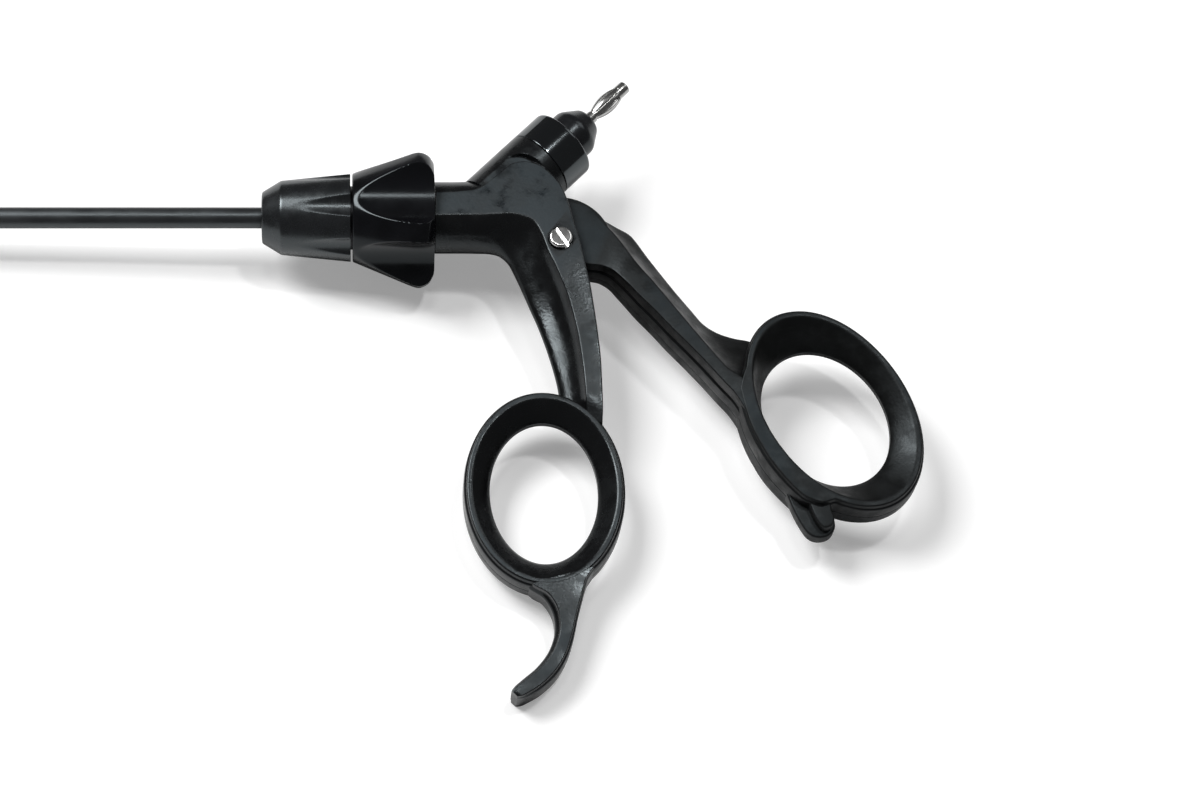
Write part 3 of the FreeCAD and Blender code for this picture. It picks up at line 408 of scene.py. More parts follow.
KNOB_FRONT = (21.25, 10.4)
KNOB_SHOULDER = (35.05, 16.2)
KNOB_CREST = (37.05, 16.8)
KNOB_ROLL = (39.25, 15.7)
KNOB_REAR = (40.45, 13.4)
HUB_R = 7.5
HUB_REAR = 32.0
BUSH_SEAT = 5.86
LOBES = 5
SCOOP_R = 9.8
SCOOP_VALLEY = 10.8
SCOOP_TURN = -3.0
SCOOP_BLEND = 0.32
GRUB_X = 27.25
GRUB_R = 1.5
GRUB_TURN = 141.0
GRUB_GAP = 0.02
GRUB_REACH = 20.0


def cut_by(piece, cutter):
    """Takes the cutter's volume out of the piece for good and removes the cutter."""
    step = piece.modifiers.new("cut", "BOOLEAN")
    step.operation = "DIFFERENCE"
    step.solver = "EXACT"
    step.object = cutter
    graph = bpy.context.evaluated_depsgraph_get()
    mesh = bpy.data.meshes.new_from_object(piece.evaluated_get(graph))
    piece.modifiers.clear()
    piece.data = mesh
    soften(mesh)
    bpy.data.objects.remove(cutter)


def rod(name, foot, axis, radius, length, around=48):
    """A plain round bar from a foot point along an axis, for drilling."""
    axis = np.array(axis, float) / np.linalg.norm(axis)
    side = np.cross(axis, (0.0, 0.0, 1.0) if abs(axis[2]) < 0.9 else (1.0, 0.0, 0.0))
    side = side / np.linalg.norm(side)
    other = np.cross(axis, side)
    angle = np.linspace(0, 2 * math.pi, around, endpoint=False)[:, None]
    ring = np.array(foot, float) + radius * (np.cos(angle) * side + np.sin(angle) * other)
    return surface(name, np.stack([ring, ring + axis * length]))


knob_paint = moulded_plastic("knob_gloss_black", (0.002, 0.002, 0.0025), (0.004, 0.004, 0.005),
                             rough=0.17, grain=900.0, relief=0.00002, patch=60.0, gloss=0.3)
knob_corners = [(KNOB_FRONT[0], HUB_R), KNOB_FRONT, KNOB_SHOULDER, KNOB_CREST, KNOB_ROLL, KNOB_REAR,
                (KNOB_REAR[0], BUSH_SEAT), (HUB_REAR, BUSH_SEAT), (HUB_REAR, HUB_R)]
knob_cuts = (0, 0.35, 1.6, 1.2, 1.0, 0.7, 0, 0, 0)
knob = dished("knob_body", long_run(knob_corners, knob_cuts, RUN_SPACING, HUB_R),
              LOBES, SCOOP_R, SCOOP_VALLEY, SCOOP_TURN, SCOOP_BLEND, RUN_AROUND)
grub_axis = (0, math.sin(math.radians(GRUB_TURN)), math.cos(math.radians(GRUB_TURN)))
cut_by(knob, rod("grub_hole", (GRUB_X, 0, 0), grub_axis, GRUB_R + GRUB_GAP, GRUB_REACH))
knob.data.materials.append(knob_paint)
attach(knob, "rotor")
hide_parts("rotation_knob")


# Handle
# One hollow black moulding: round barrel with two side flats, an elbow that turns down into the
# finger arm, the plug post, the finger ring and the hook for the little finger. The lever's head
# swings in a slot between its two cheeks.

FLAT_Z = 7.9
PIVOT = (69.8, -9.3)
RECESS_R = 3.0
RECESS_FLOOR = 6.9
CHEEK_GAP = 5.0
HEAD_SWEEP = 14.5
HUB_SWEEP = 5.5
SPIGOT_R = 4.6
SPIGOT_BORE = 2.1
SPIGOT_FRONT = 32.7
SPIGOT_REAR = 42.0
RECESS_DEPTH = 4.0
SLOT_END = [(86.0, -26.0), (73.8, -26.0)]
FRONT_POINTS = 22
REAR_POINTS = 14
CURVE_STOP = 0.94
STATION_STEPS = 8

# One row for each station from the barrel's front to the finger ring: front edge, front and rear
# border of the flat, rear edge (x and y of each), half thickness; then for the front curve and for
# the rear curve its rise at the edge, and how far in and how high its second control point lies
ARM = np.array([
    (40.7, -8.5, 40.7, -3.0, 40.7, 3.1, 40.7, 8.5, 7.9, 3.49, 0.40, 0.84, 3.49, 0.40, 0.84),
    (44.0, -8.5, 44.0, -3.0, 44.0, 3.1, 44.0, 8.5, 7.9, 3.49, 0.40, 0.84, 3.49, 0.40, 0.84),
    (47.6, -8.5, 47.6, -3.0, 47.6, 3.5, 47.6, 8.5, 7.9, 3.49, 0.40, 0.84, 3.49, 0.40, 0.84),
    (50.6, -8.6, 51.0, -2.9, 51.0, 4.2, 50.4, 8.6, 7.9, 3.49, 0.40, 0.84, 3.30, 0.40, 0.80),
    (53.2, -8.9, 55.0, -2.8, 55.0, 7.4, 54.8, 9.8, 7.9, 3.30, 0.43, 0.78, 3.00, 0.40, 0.72),
    (55.2, -9.6, 58.6, -2.8, 59.6, 11.0, 59.6, 11.2, 7.9, 3.10, 0.48, 0.70, 2.63, 0.40, 0.67),
    (56.7, -10.8, 61.4, -3.4, 65.0, 10.6, 65.0, 10.6, 7.9, 2.90, 0.55, 0.62, 2.63, 0.40, 0.67),
    (58.0, -12.5, 63.8, -4.8, 69.6, 6.2, 69.6, 6.2, 7.9, 2.80, 0.62, 0.54, 2.63, 0.40, 0.67),
    (59.2, -15.2, 65.5, -8.0, 71.8, 1.0, 71.8, 1.0, 7.9, 2.70, 0.68, 0.47, 2.63, 0.40, 0.67),
    (60.4, -18.2, 66.8, -12.2, 73.0, -4.2, 73.0, -4.2, 7.9, 2.60, 0.72, 0.40, 2.63, 0.40, 0.67),
    (61.6, -21.4, 68.2, -15.6, 74.4, -9.8, 74.4, -9.8, 7.9, 2.55, 0.75, 0.32, 2.63, 0.40, 0.67),
    (62.8, -24.6, 69.4, -18.8, 75.4, -15.0, 75.4, -15.0, 7.75, 2.45, 0.78, 0.24, 2.58, 0.40, 0.67),
    (64.1, -28.0, 70.8, -22.6, 76.4, -20.4, 76.4, -20.4, 7.45, 2.40, 0.78, 0.20, 2.48, 0.40, 0.67),
    (65.4, -31.9, 72.0, -27.4, 77.1, -26.0, 77.1, -26.0, 7.10, 2.35, 0.78, 0.20, 2.37, 0.40, 0.67),
    (66.6, -36.0, 73.1, -32.8, 77.8, -32.4, 77.8, -32.4, 6.70, 2.30, 0.78, 0.21, 2.23, 0.40, 0.67),
    (67.6, -40.0, 73.8, -38.2, 78.3, -39.0, 78.3, -39.0, 6.30, 2.25, 0.78, 0.22, 2.10, 0.40, 0.67),
    (68.4, -44.0, 74.3, -43.6, 78.4, -45.0, 78.4, -45.0, 6.00, 2.20, 0.78, 0.25, 2.00, 0.40, 0.67),
    (68.8, -47.8, 74.6, -48.8, 78.4, -51.0, 78.4, -51.0, 5.50, 2.20, 0.78, 0.28, 1.83, 0.40, 0.67),
    (69.0, -50.6, 74.8, -52.6, 78.2, -55.0, 78.2, -55.0, 4.70, 2.20, 0.78, 0.30, 1.57, 0.40, 0.67),
])


def between(table, steps):
    """Smooth rows through a table of stations: cubic pieces whose slopes are half the step
    between the neighbours, with the same number of steps in each piece."""
    table = np.asarray(table, float)
    slope = np.gradient(table, axis=0)
    place = np.linspace(0, len(table) - 1, (len(table) - 1) * steps + 1)
    i = np.minimum(place.astype(int), len(table) - 2)
    t = (place - i)[:, None]
    return ((2 * t ** 3 - 3 * t ** 2 + 1) * table[i] + (t ** 3 - 2 * t ** 2 + t) * slope[i]
            + (3 * t ** 2 - 2 * t ** 3) * table[i + 1] + (t ** 3 - t ** 2) * slope[i + 1])


def at_height(plan, height):
    """Plan points (n, 2) raised to a height, as (n, 3)."""
    return np.concatenate([plan, np.broadcast_to(height, (len(plan),))[:, None]], axis=1)


def cubic(points, shares):
    """Cubic curves over four rows of control points, read at the shares; gives (n, shares, 3)."""
    t = np.asarray(shares)[None, :, None]
    a, b, c, d = (p[:, None, :] for p in points)
    return (1 - t) ** 3 * a + 3 * t * (1 - t) ** 2 * b + 3 * t ** 2 * (1 - t) * c + t ** 3 * d


def mirrored(upper):
    """A closed section from its upper half, which starts and ends at the mid-plane."""
    lower = upper[:, -2:0:-1] * np.array((1, 1, -1))
    return np.concatenate([upper, lower], axis=1)


def arm_rows():
    """Sections across the barrel and arm: a cubic up the front to the flat, the flat, and a cubic
    down the rear, with both borders of the flat rounded; the lower half mirrors the upper."""
    run = between(ARM, STATION_STEPS)
    front, border, back_border, rear, half = np.split(run[:, :9], (2, 4, 6, 8), axis=1)
    half = half[:, 0]
    rise, reach, level = run[:, 9], run[:, 10:11], run[:, 11]
    rear_rise, rear_reach, rear_level = run[:, 12], run[:, 13:14], run[:, 14]
    face = cubic([at_height(front, 0), at_height(front, rise),
                  at_height(front + (border - front) * reach, half * level),
                  at_height(border, half)], np.linspace(0, CURVE_STOP, FRONT_POINTS))
    back = cubic([at_height(back_border, half),
                  at_height(rear + (back_border - rear) * rear_reach, half * rear_level),
                  at_height(rear, rear_rise), at_height(rear, 0)],
                 np.linspace(0.1, 1, REAR_POINTS))
    upper = np.concatenate([face, at_height(border, half)[:, None],
                            at_height(back_border, half)[:, None], back], axis=1)
    cuts = [0] * FRONT_POINTS + [0.5, 0.55] + [0] * REAR_POINTS
    closed = mirrored(upper)
    return soft_rows(closed, cuts + cuts[-2:0:-1])


def plate(name, outline, half, edge=0.0, steps=5):
    """A flat piece on both sides of the mid-plane: its closed outline is drawn in towards the
    faces by a quarter circle, so its edges are round."""
    outline = np.asarray(outline, float)
    ahead = np.roll(outline, -1, axis=0) - np.roll(outline, 1, axis=0)
    normal = np.stack([ahead[:, 1], -ahead[:, 0]], axis=1)
    normal = normal / np.linalg.norm(normal, axis=1, keepdims=True)
    following = np.roll(outline, -1, axis=0)
    area = np.sum(outline[:, 0] * following[:, 1] - outline[:, 1] * following[:, 0])
    normal = normal * np.sign(area)
    turn = np.linspace(0, math.pi / 2, steps)
    inset = edge * (1 - np.cos(turn))
    height = half - edge + edge * np.sin(turn)
    inset = np.concatenate([inset[::-1], inset])
    height = np.concatenate([-height[::-1], height])
    if edge == 0:
        inset, height = np.zeros(2), np.array((-half, half))
    rows = np.stack([at_height(outline - normal * i, h) for i, h in zip(inset, height)])
    return surface(name, rows)


def arc(centre, radius, start, end, count):
    """Points of a circle from one angle to another, in degrees."""
    angle = np.radians(np.linspace(start, end, count))
    around = np.stack([radius * np.cos(angle), radius * np.sin(angle)], axis=1)
    return np.asarray(centre) + around


handle = surface("handle_shell", arm_rows())
slot_outline = np.concatenate([arc(PIVOT, HEAD_SWEEP, 134, 0, 48), SLOT_END,
                               arc(PIVOT, HUB_SWEEP, -100, -226, 20)])
cut_by(handle, plate("head_slot", slot_outline, CHEEK_GAP))
for side in (1, -1):
    recess = rod("screw_recess", (*PIVOT, side * RECESS_FLOOR), (0, 0, side), RECESS_R,
                 RECESS_DEPTH, around=64)
    cut_by(handle, recess)

# Plug post: a round column with the handle's flats, which run out in a curved step below the cap
POST_ROOT_X = 51.8
POST_ANGLE = 45.0
POST_R = 8.85
POST_INSET = 0.02
CAP_START = 20.0
CAP_SEAM = 0.12
RUN_OUT_AT = 17.0
RUN_OUT_PIVOT = 3.5
RUN_OUT_SLOPE = 0.25
RUN_OUT_CURL = 0.035
RUN_OUT_LENGTH = 0.8
RUN_OUT_RISE = 1.1
GROOVE_DEPTH = 0.7
GROOVE_BEHIND = 0.3
GROOVE_WIDTH = 0.26
GROOVE_MIDDLE = 0.8
GROOVE_REACH = 3.2


def about_post(along, radius, angle):
    """Point at a distance along the post and a radius; the angle runs from +Z to its left."""
    turn = math.radians(POST_ANGLE)
    side = radius * np.sin(angle)
    point = np.broadcast_arrays(POST_ROOT_X + along * math.cos(turn) - side * math.sin(turn),
                                along * math.sin(turn) + side * math.cos(turn),
                                radius * np.cos(angle))
    return np.stack(point, axis=-1)


def post_rows():
    """Rings up the post: a circle whose height is held to the flat, with a limit that rises out of
    the circle past a line that slants across the post and curls back, behind a narrow groove whose
    depth is a bell curve across that line and fades towards both of its ends."""
    along = np.concatenate([np.linspace(3.0, 9.5, 4), np.linspace(10.0, 18.4, 85),
                            (CAP_START - CAP_SEAM, CAP_START)])[:, None]
    radius = np.full_like(along, POST_R)
    radius[-1] = POST_R - CAP_SEAM
    angle = np.linspace(0, 2 * math.pi, 288, endpoint=False)[None, :]
    rows = about_post(along, radius, angle)
    across = POST_R * np.sin(angle)
    run_out = (RUN_OUT_AT - RUN_OUT_SLOPE * (across + RUN_OUT_PIVOT)
               - RUN_OUT_CURL * np.maximum(across, 0) ** 3)
    share = np.clip((along - run_out) / RUN_OUT_LENGTH, 0, 1)
    limit = FLAT_Z - POST_INSET + RUN_OUT_RISE * share ** 2 * (3 - 2 * share)
    bell = (((along - run_out - GROOVE_BEHIND) / GROOVE_WIDTH) ** 2
            + ((across - GROOVE_MIDDLE) / GROOVE_REACH) ** 4)
    limit = limit - GROOVE_DEPTH * np.exp(-bell)
    rows[:, :, 2] = np.clip(rows[:, :, 2], -limit, limit)
    return rows


post_column = surface("post_column", post_rows())
spigot_corners = [(SPIGOT_FRONT, SPIGOT_BORE), (SPIGOT_FRONT, SPIGOT_R),
                  (SPIGOT_REAR, SPIGOT_R), (SPIGOT_REAR, SPIGOT_BORE)]
spigot = turned("spigot", soft_section(spigot_corners, (0, 0.2, 0, 0)))

# Finger ring: waisted inside, with soft rims and a fine parting line round its outside. A pair
# says how far a point of the stepped border lies inside the outer edge and below the face
FINGER = (64.5, -70.5)
FINGER_HOLE = (12.4, 17.2)
FINGER_RIM = (16.6, 21.8)
FINGER_OUTER = (18.5, 24.0)
FINGER_Z = 4.8
RING_AROUND = 168
RING_BOW = 1.25
RING_FACE = 0.75
RING_STEP = (0.55, 1.15)
RING_SHOULDER = (0.12, 1.40)
RING_SIDE = 0.45
PARTING_DEPTH = 0.14
PARTING_HALF = 0.16


def oval(centre, sizes, angle, lean=0.0):
    """Points of an ellipse; lean turns its long axis from +Y towards -X."""
    turn = math.radians(lean)
    short, long = sizes[0] * np.cos(angle), sizes[1] * np.sin(angle)
    return np.stack([centre[0] + short * math.cos(turn) - long * math.sin(turn),
                     centre[1] + short * math.sin(turn) + long * math.cos(turn)], axis=-1)


def ring_rows(hole, rim, outer, height, waist=0.8):
    """Sections round a finger ring: from the waist out to the rim on a bowed line, across a narrow
    face, down a small step to a wider body, and down its outside to the parting line."""
    share = np.linspace(0, 1, 9)[1:-1]
    flare = [at_height(hole + (rim - hole) * s ** RING_BOW, waist + (height - waist) * s)
             for s in share]
    out = (outer - hole) / np.linalg.norm(outer - hole, axis=1, keepdims=True)
    upper = np.stack([at_height(hole, 0), at_height(hole, waist), *flare, at_height(rim, height),
                      at_height(outer - out * RING_FACE, height),
                      at_height(outer - out * RING_STEP[0], height - RING_STEP[1]),
                      at_height(outer - out * RING_SHOULDER[0], height - RING_SHOULDER[1]),
                      at_height(outer, height * RING_SIDE), at_height(outer, PARTING_HALF),
                      at_height(outer - out * PARTING_DEPTH, 0)], axis=1)
    cuts = [0, 0.12] + [0] * len(flare) + [0.5, 0.4, 0.1, 0.4, 0, 0.05, 0]
    return soft_rows(mirrored(upper), cuts + cuts[-2:0:-1])


angle = np.linspace(0, 2 * math.pi, RING_AROUND, endpoint=False)
finger_rows = ring_rows(oval(FINGER, FINGER_HOLE, angle), oval(FINGER, FINGER_RIM, angle),
                        oval(FINGER, FINGER_OUTER, angle), np.full(RING_AROUND, FINGER_Z))
finger_ring = surface("finger_ring", finger_rows, closed_rows=True)

# Little-finger hook: a curved rest below the ring with the ring's stepped border along both edges.
# A pair says how far in, as a share of the border's width, and how far below the face a step lies.
# One row for each station from the ring to the tip: inner and outer edge at the mid-plane (x and y
# of each), the border's width, and the face's height
HOOK_INNER_WALL = 2.2
HOOK_INNER_STEP = (0.85, 1.4)
HOOK_OUTER_FACE = 0.55
HOOK_OUTER_STEP = (0.45, 1.1)
HOOK_OUTER_WALL = 1.5
HOOK = np.array([
    (62.6, -93.1, 72.4, -91.4, 0.8, 4.78),
    (60.3, -94.0, 75.3, -89.6, 0.8, 4.78),
    (63.3, -96.2, 73.6, -92.4, 1.0, 4.75),
    (65.0, -98.8, 72.4, -96.4, 1.1, 4.6),
    (65.8, -101.6, 71.2, -100.8, 1.1, 4.4),
    (65.7, -105.0, 70.2, -105.2, 1.1, 4.2),
    (64.2, -109.0, 68.5, -110.2, 1.1, 4.2),
    (61.6, -112.4, 66.0, -114.3, 1.1, 4.2),
    (58.8, -114.8, 62.8, -117.4, 1.0, 4.2),
    (56.8, -116.5, 59.9, -119.2, 0.8, 4.15),
    (55.9, -117.6, 58.3, -119.8, 0.5, 4.1),
    (55.7, -118.5, 57.0, -119.85, 0.25, 4.0),
])


def hook_rows():
    """Sections along the hook between its two edges, each with a stepped border at its faces."""
    run = between(HOOK, STATION_STEPS)
    inner, outer, back, height = run[:, 0:2], run[:, 2:4], run[:, 4:5], run[:, 5]
    out = (outer - inner) / np.linalg.norm(outer - inner, axis=1, keepdims=True)
    upper = np.stack([at_height(inner, 0), at_height(inner, height - HOOK_INNER_WALL),
                      at_height(inner + out * back * HOOK_INNER_STEP[0],
                                height - HOOK_INNER_STEP[1]),
                      at_height(inner + out * back, height),
                      at_height(outer - out * back * HOOK_OUTER_FACE, height),
                      at_height(outer - out * back * HOOK_OUTER_STEP[0],
                                height - HOOK_OUTER_STEP[1]),
                      at_height(outer, height - HOOK_OUTER_WALL), at_height(outer, 0)], axis=1)
    cuts = [0, 0.5, 0.1, 0.25, 0.25, 0.1, 0.4, 0]
    return soft_rows(mirrored(upper), cuts + cuts[-2:0:-1])


hook = surface("finger_hook", hook_rows())


def joined(target, parts):
    """Adds the parts' meshes to the target's as further closed shells."""
    work = bmesh.new()
    for piece in [target] + parts:
        work.from_mesh(piece.data)
    mesh = bpy.data.meshes.new(target.name)
    work.to_mesh(mesh)
    work.free()
    soften(mesh)
    target.data = mesh
    for piece in parts:
        bpy.data.objects.remove(piece)


FLAT_FROM = 0.985
FLAT_RANGE = 0.0135
FLAT_SLACK = 0.05


def mark_flats(piece, highest):
    """Stores for the paint how squarely each vertex faces along Z, from 0 at about ten degrees off
    to 1 at three, and 0 for what stands higher than the highest flat. The paint uses it to keep its
    paler colour clouds to the flats, partly as painted sheen."""
    mesh = piece.data
    normal = np.empty(len(mesh.vertices) * 3, np.float32)
    mesh.vertex_normals.foreach_get("vector", normal)
    place = np.empty(len(mesh.vertices) * 3, np.float32)
    mesh.vertices.foreach_get("co", place)
    share = np.clip((np.abs(normal[2::3]) - FLAT_FROM) / FLAT_RANGE, 0, 1)
    share = share * (np.abs(place[2::3]) < highest * MM)
    mesh.attributes.new("flatness", "FLOAT", "POINT").data.foreach_set("value", share)


# The handle's flats are paler than its curved faces: stain clouds together with painted sheen,
# through the flatness mask
handle_paint = moulded_plastic("handle_black", (0.004, 0.004, 0.0043), (0.009, 0.013, 0.016),
                               rough=0.33, grain=1500.0, relief=0.00006, patch=48.0, gloss=0.36,
                               spread=0.3, curved=0.58)
joined(handle, [post_column, spigot, finger_ring, hook])
mark_flats(handle, FLAT_Z + FLAT_SLACK)
handle.data.materials.append(handle_paint)
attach(handle, "handle")
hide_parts("handle_body")


# Pivot screw
# Polished steel screw with a low rounded head and a driver slot, through both cheeks and the
# lever's tang. Its head stands a little out of the recess in the handle's flat.

SCREW_SHANK_R = 1.7
SCREW_HEAD_R = 2.75
SCREW_TOP = 9.1
SCREW_SLOT = 1.1
SCREW_SLOT_DEPTH = 1.2
SCREW_SLOT_TURN = -58.0
SLOT_REACH = 4
SLOT_OVER = 1.0
NEAR_AXIS = 0.02
METAL_SHADE = 0.86


def about_pivot(along, radius, angle):
    """Point at a height over the mid-plane and a radius from the pivot's axis."""
    point = np.broadcast_arrays(PIVOT[0] + radius * np.cos(angle),
                                PIVOT[1] + radius * np.sin(angle), along)
    return np.stack(point, axis=-1)


def bright_metal(name, colour, rough, along=(1.0, 1.0, 1.0), grain=900.0, relief=0.00001):
    """Metal with fine drawn or turned marks in its roughness and relief, stretched where the scale
    along an axis is small, and slow clouds in its colour."""
    paint = bpy.data.materials.new(name)
    paint.use_nodes = True
    tree = paint.node_tree
    shader = tree.nodes["Principled BSDF"]
    shader.inputs["Metallic"].default_value = 1.0
    place = tree.nodes.new("ShaderNodeTexCoord")
    stretch = tree.nodes.new("ShaderNodeMapping")
    stretch.inputs["Scale"].default_value = along
    marks = add_node(tree, "ShaderNodeTexNoise", Scale=grain, Detail=4.0, Roughness=0.6)
    cloud = add_node(tree, "ShaderNodeTexNoise", Scale=120.0, Detail=3.0)
    tint = two_tone(tree, 0.3, 0.7, tuple(METAL_SHADE * c for c in colour), colour)
    dull = add_node(tree, "ShaderNodeMapRange", To_Min=rough * 0.7, To_Max=rough * 1.4)
    bump = add_node(tree, "ShaderNodeBump", Strength=0.4, Distance=relief)
    tree.links.new(place.outputs["Object"], stretch.inputs["Vector"])
    tree.links.new(stretch.outputs["Vector"], marks.inputs["Vector"])
    tree.links.new(place.outputs["Object"], cloud.inputs["Vector"])
    tree.links.new(cloud.outputs["Fac"], tint.inputs["Fac"])
    tree.links.new(tint.outputs["Color"], shader.inputs["Base Color"])
    tree.links.new(marks.outputs["Fac"], dull.inputs["Value"])
    tree.links.new(dull.outputs["Result"], shader.inputs["Roughness"])
    tree.links.new(marks.outputs["Fac"], bump.inputs["Height"])
    tree.links.new(bump.outputs["Normal"], shader.inputs["Normal"])
    return paint


screw_paint = bright_metal("screw_steel", (0.74, 0.74, 0.73), 0.16)
screw_corners = [(-RECESS_FLOOR, NEAR_AXIS), (-RECESS_FLOOR, SCREW_SHANK_R),
                 (RECESS_FLOOR, SCREW_SHANK_R), (RECESS_FLOOR, SCREW_HEAD_R),
                 (SCREW_TOP, SCREW_HEAD_R), (SCREW_TOP, NEAR_AXIS)]
screw_section = soft_section(screw_corners, (0, 0.2, 0, 0, 0.7, 0), steps=8)
screw = turned("pivot_screw_turned", screw_section, 96, about_pivot)
slot_turn = math.radians(SCREW_SLOT_TURN)
slot_long = np.array((math.cos(slot_turn), math.sin(slot_turn))) * SLOT_REACH
slot_wide = np.array((-math.sin(slot_turn), math.cos(slot_turn))) * SCREW_SLOT / 2
slot_ring = np.array(PIVOT) + np.array([slot_long + slot_wide, -slot_long + slot_wide,
                                        -slot_long - slot_wide, slot_long - slot_wide])
slot_rows = [at_height(slot_ring, SCREW_TOP - SCREW_SLOT_DEPTH),
             at_height(slot_ring, SCREW_TOP + SLOT_OVER)]
cut_by(screw, surface("driver_slot", np.stack(slot_rows)))
screw.data.materials.append(screw_paint)
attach(screw, "handle")
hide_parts("pivot_screw")


# Thumb lever
# Second black moulding, held by the pivot screw: a round head between the cheeks, an arm with a
# hollowed upper side, and the thumb ring, deep where it meets the arm and thin at its far side.

TANG_Z = 4.9
TANG_INSET = 0.05
TANG_HUB_R = 5.2
HEAD_R = 12.5
HEAD_FOOT = [(78.8, -14.7), (76.0, -14.2), (72.5, -13.8)]
SOCKET_R = 3.12
SOCKET_TURN = 12
SOCKET_FROM = 6.5
SOCKET_LENGTH = 12.0
ROD_MOUTH = [(69.3, -2.4), (69.3, 8.0), (54.0, 8.0), (54.0, -6.0), (62.8, -4.6)]
ROD_MOUTH_Z = 1.55
THUMB = (130.6, -52.5)
THUMB_LEAN = 29.0
THUMB_HOLE = (13.9, 17.7)
THUMB_RIM = (16.6, 24.6)
THUMB_OUTER = (18.55, 26.75)
THUMB_SHIFT = (1.5, 0.8)
THUMB_DEEP = 7.0
THUMB_THIN = 4.2
THUMB_DEEP_AT = 116.0
THUMB_THIN_AT = 153.2
THUMB_AROUND = 192
SWELL_AT = (0, 134, 150, 162, 180, 194, 207, 217, 228, 360)
SWELL = (0, 0, 2.3, 2.2, 2.4, 3.2, 4.2, 3.2, 0, 0)
CREST_HALF = 0.9
HOLLOW_REACH = 0.52
HOLLOW_LEVEL = 0.30
HOLLOW_POINTS = 20

# The wall below the flat: how far out it lies from the flat's lower border, and at what share of
# the half thickness
LEVER_WALL = [(0.10, 0.44), (-0.15, 0.38), (0.40, 0.31), (0.45, 0)]

# One row for each station from the head to the thumb ring: crest at the mid-plane, upper and lower
# border of the flat (x and y of each), half thickness
LEVER = np.array([
    (72.0, 2.7, 71.9, 2.4, 71.5, -13.4, 4.90),
    (77.1, 0.8, 77.0, 0.5, 74.6, -14.1, 4.90),
    (80.9, -0.9, 80.3, -3.6, 76.8, -14.6, 4.95),
    (84.0, -2.8, 82.6, -6.6, 79.4, -15.0, 5.20),
    (86.6, -4.4, 84.6, -9.8, 81.8, -16.3, 5.70),
    (88.2, -6.3, 86.4, -13.0, 83.6, -18.2, 6.20),
    (90.9, -10.6, 88.6, -16.4, 85.8, -20.8, 6.60),
    (94.0, -15.2, 91.2, -19.8, 88.2, -23.8, 6.80),
    (97.3, -20.0, 94.2, -24.0, 91.4, -27.4, 6.90),
    (100.4, -24.2, 97.4, -28.5, 95.0, -31.8, 6.95),
    (103.2, -27.9, 101.0, -33.5, 98.8, -36.1, 7.0),
    (106.4, -30.2, 104.6, -38.4, 102.6, -40.6, 7.0),
    (110.2, -31.6, 107.4, -42.0, 106.0, -44.9, 7.0),
    (114.4, -32.6, 110.2, -44.2, 109.0, -48.6, 7.0),
    (117.4, -35.2, 112.5, -46.5, 111.2, -52.5, 6.8),
])


def lever_rows():
    """Sections across the lever's arm: a narrow crest, a hollow that runs as a cubic to the flat,
    the flat, and a wall with a groove over the band that stands out along the mid-plane."""
    run = between(LEVER, STATION_STEPS)
    crest, upper_border, lower_border, half = run[:, 0:2], run[:, 2:4], run[:, 4:6], run[:, 6]
    hollow = cubic([at_height(crest, 0), at_height(crest, CREST_HALF),
                    at_height(crest + (upper_border - crest) * HOLLOW_REACH, half * HOLLOW_LEVEL),
                    at_height(upper_border, half)], np.linspace(0, CURVE_STOP, HOLLOW_POINTS))
    out = lower_border - upper_border
    out = out / np.linalg.norm(out, axis=1, keepdims=True)
    wall = [at_height(lower_border + out * beyond, half * level)[:, None]
            for beyond, level in LEVER_WALL]
    upper = np.concatenate([hollow, at_height(upper_border, half)[:, None],
                            at_height(lower_border, half)[:, None], *wall], axis=1)
    cuts = [0] * HOLLOW_POINTS + [0.35, 0.35, 0.1, 0, 0.2, 0]
    return soft_rows(mirrored(upper), cuts + cuts[-2:0:-1])


lever = surface("lever_shell", lever_rows())
head_outline = np.concatenate([arc(PIVOT, HEAD_R, 116, -22, 60), HEAD_FOOT,
                               arc(PIVOT, TANG_HUB_R, -85, -244, 28)])
head = plate("lever_head", head_outline, TANG_Z - TANG_INSET, edge=0.3)
socket_turn = math.radians(SOCKET_TURN)
ball_side = (-math.sin(socket_turn), math.cos(socket_turn), 0)
socket_foot = (PIVOT[0] + ball_side[0] * SOCKET_FROM, PIVOT[1] + ball_side[1] * SOCKET_FROM, 0)
cut_by(head, rod("socket_bore", socket_foot, ball_side, SOCKET_R, SOCKET_LENGTH))
cut_by(head, plate("rod_mouth", ROD_MOUTH, ROD_MOUTH_Z))

angle = np.linspace(0, 2 * math.pi, THUMB_AROUND, endpoint=False)
rim_centre = (THUMB[0] + THUMB_SHIFT[0], THUMB[1] + THUMB_SHIFT[1])
thumb_hole = oval(THUMB, THUMB_HOLE, angle, THUMB_LEAN)
thumb_rim = oval(rim_centre, THUMB_RIM, angle, THUMB_LEAN)
thumb_outer = oval(rim_centre, THUMB_OUTER, angle, THUMB_LEAN)
outwards = thumb_outer - thumb_hole
swell = np.interp(np.degrees(angle), SWELL_AT, SWELL)[:, None]
thumb_outer = thumb_outer + outwards / np.linalg.norm(outwards, axis=1, keepdims=True) * swell
thumb_height = np.interp(thumb_outer[:, 0], (THUMB_DEEP_AT, THUMB_THIN_AT),
                         (THUMB_DEEP, THUMB_THIN))
thumb_rows = ring_rows(thumb_hole, thumb_rim, thumb_outer, thumb_height)
thumb_ring = surface("thumb_ring", thumb_rows, closed_rows=True)

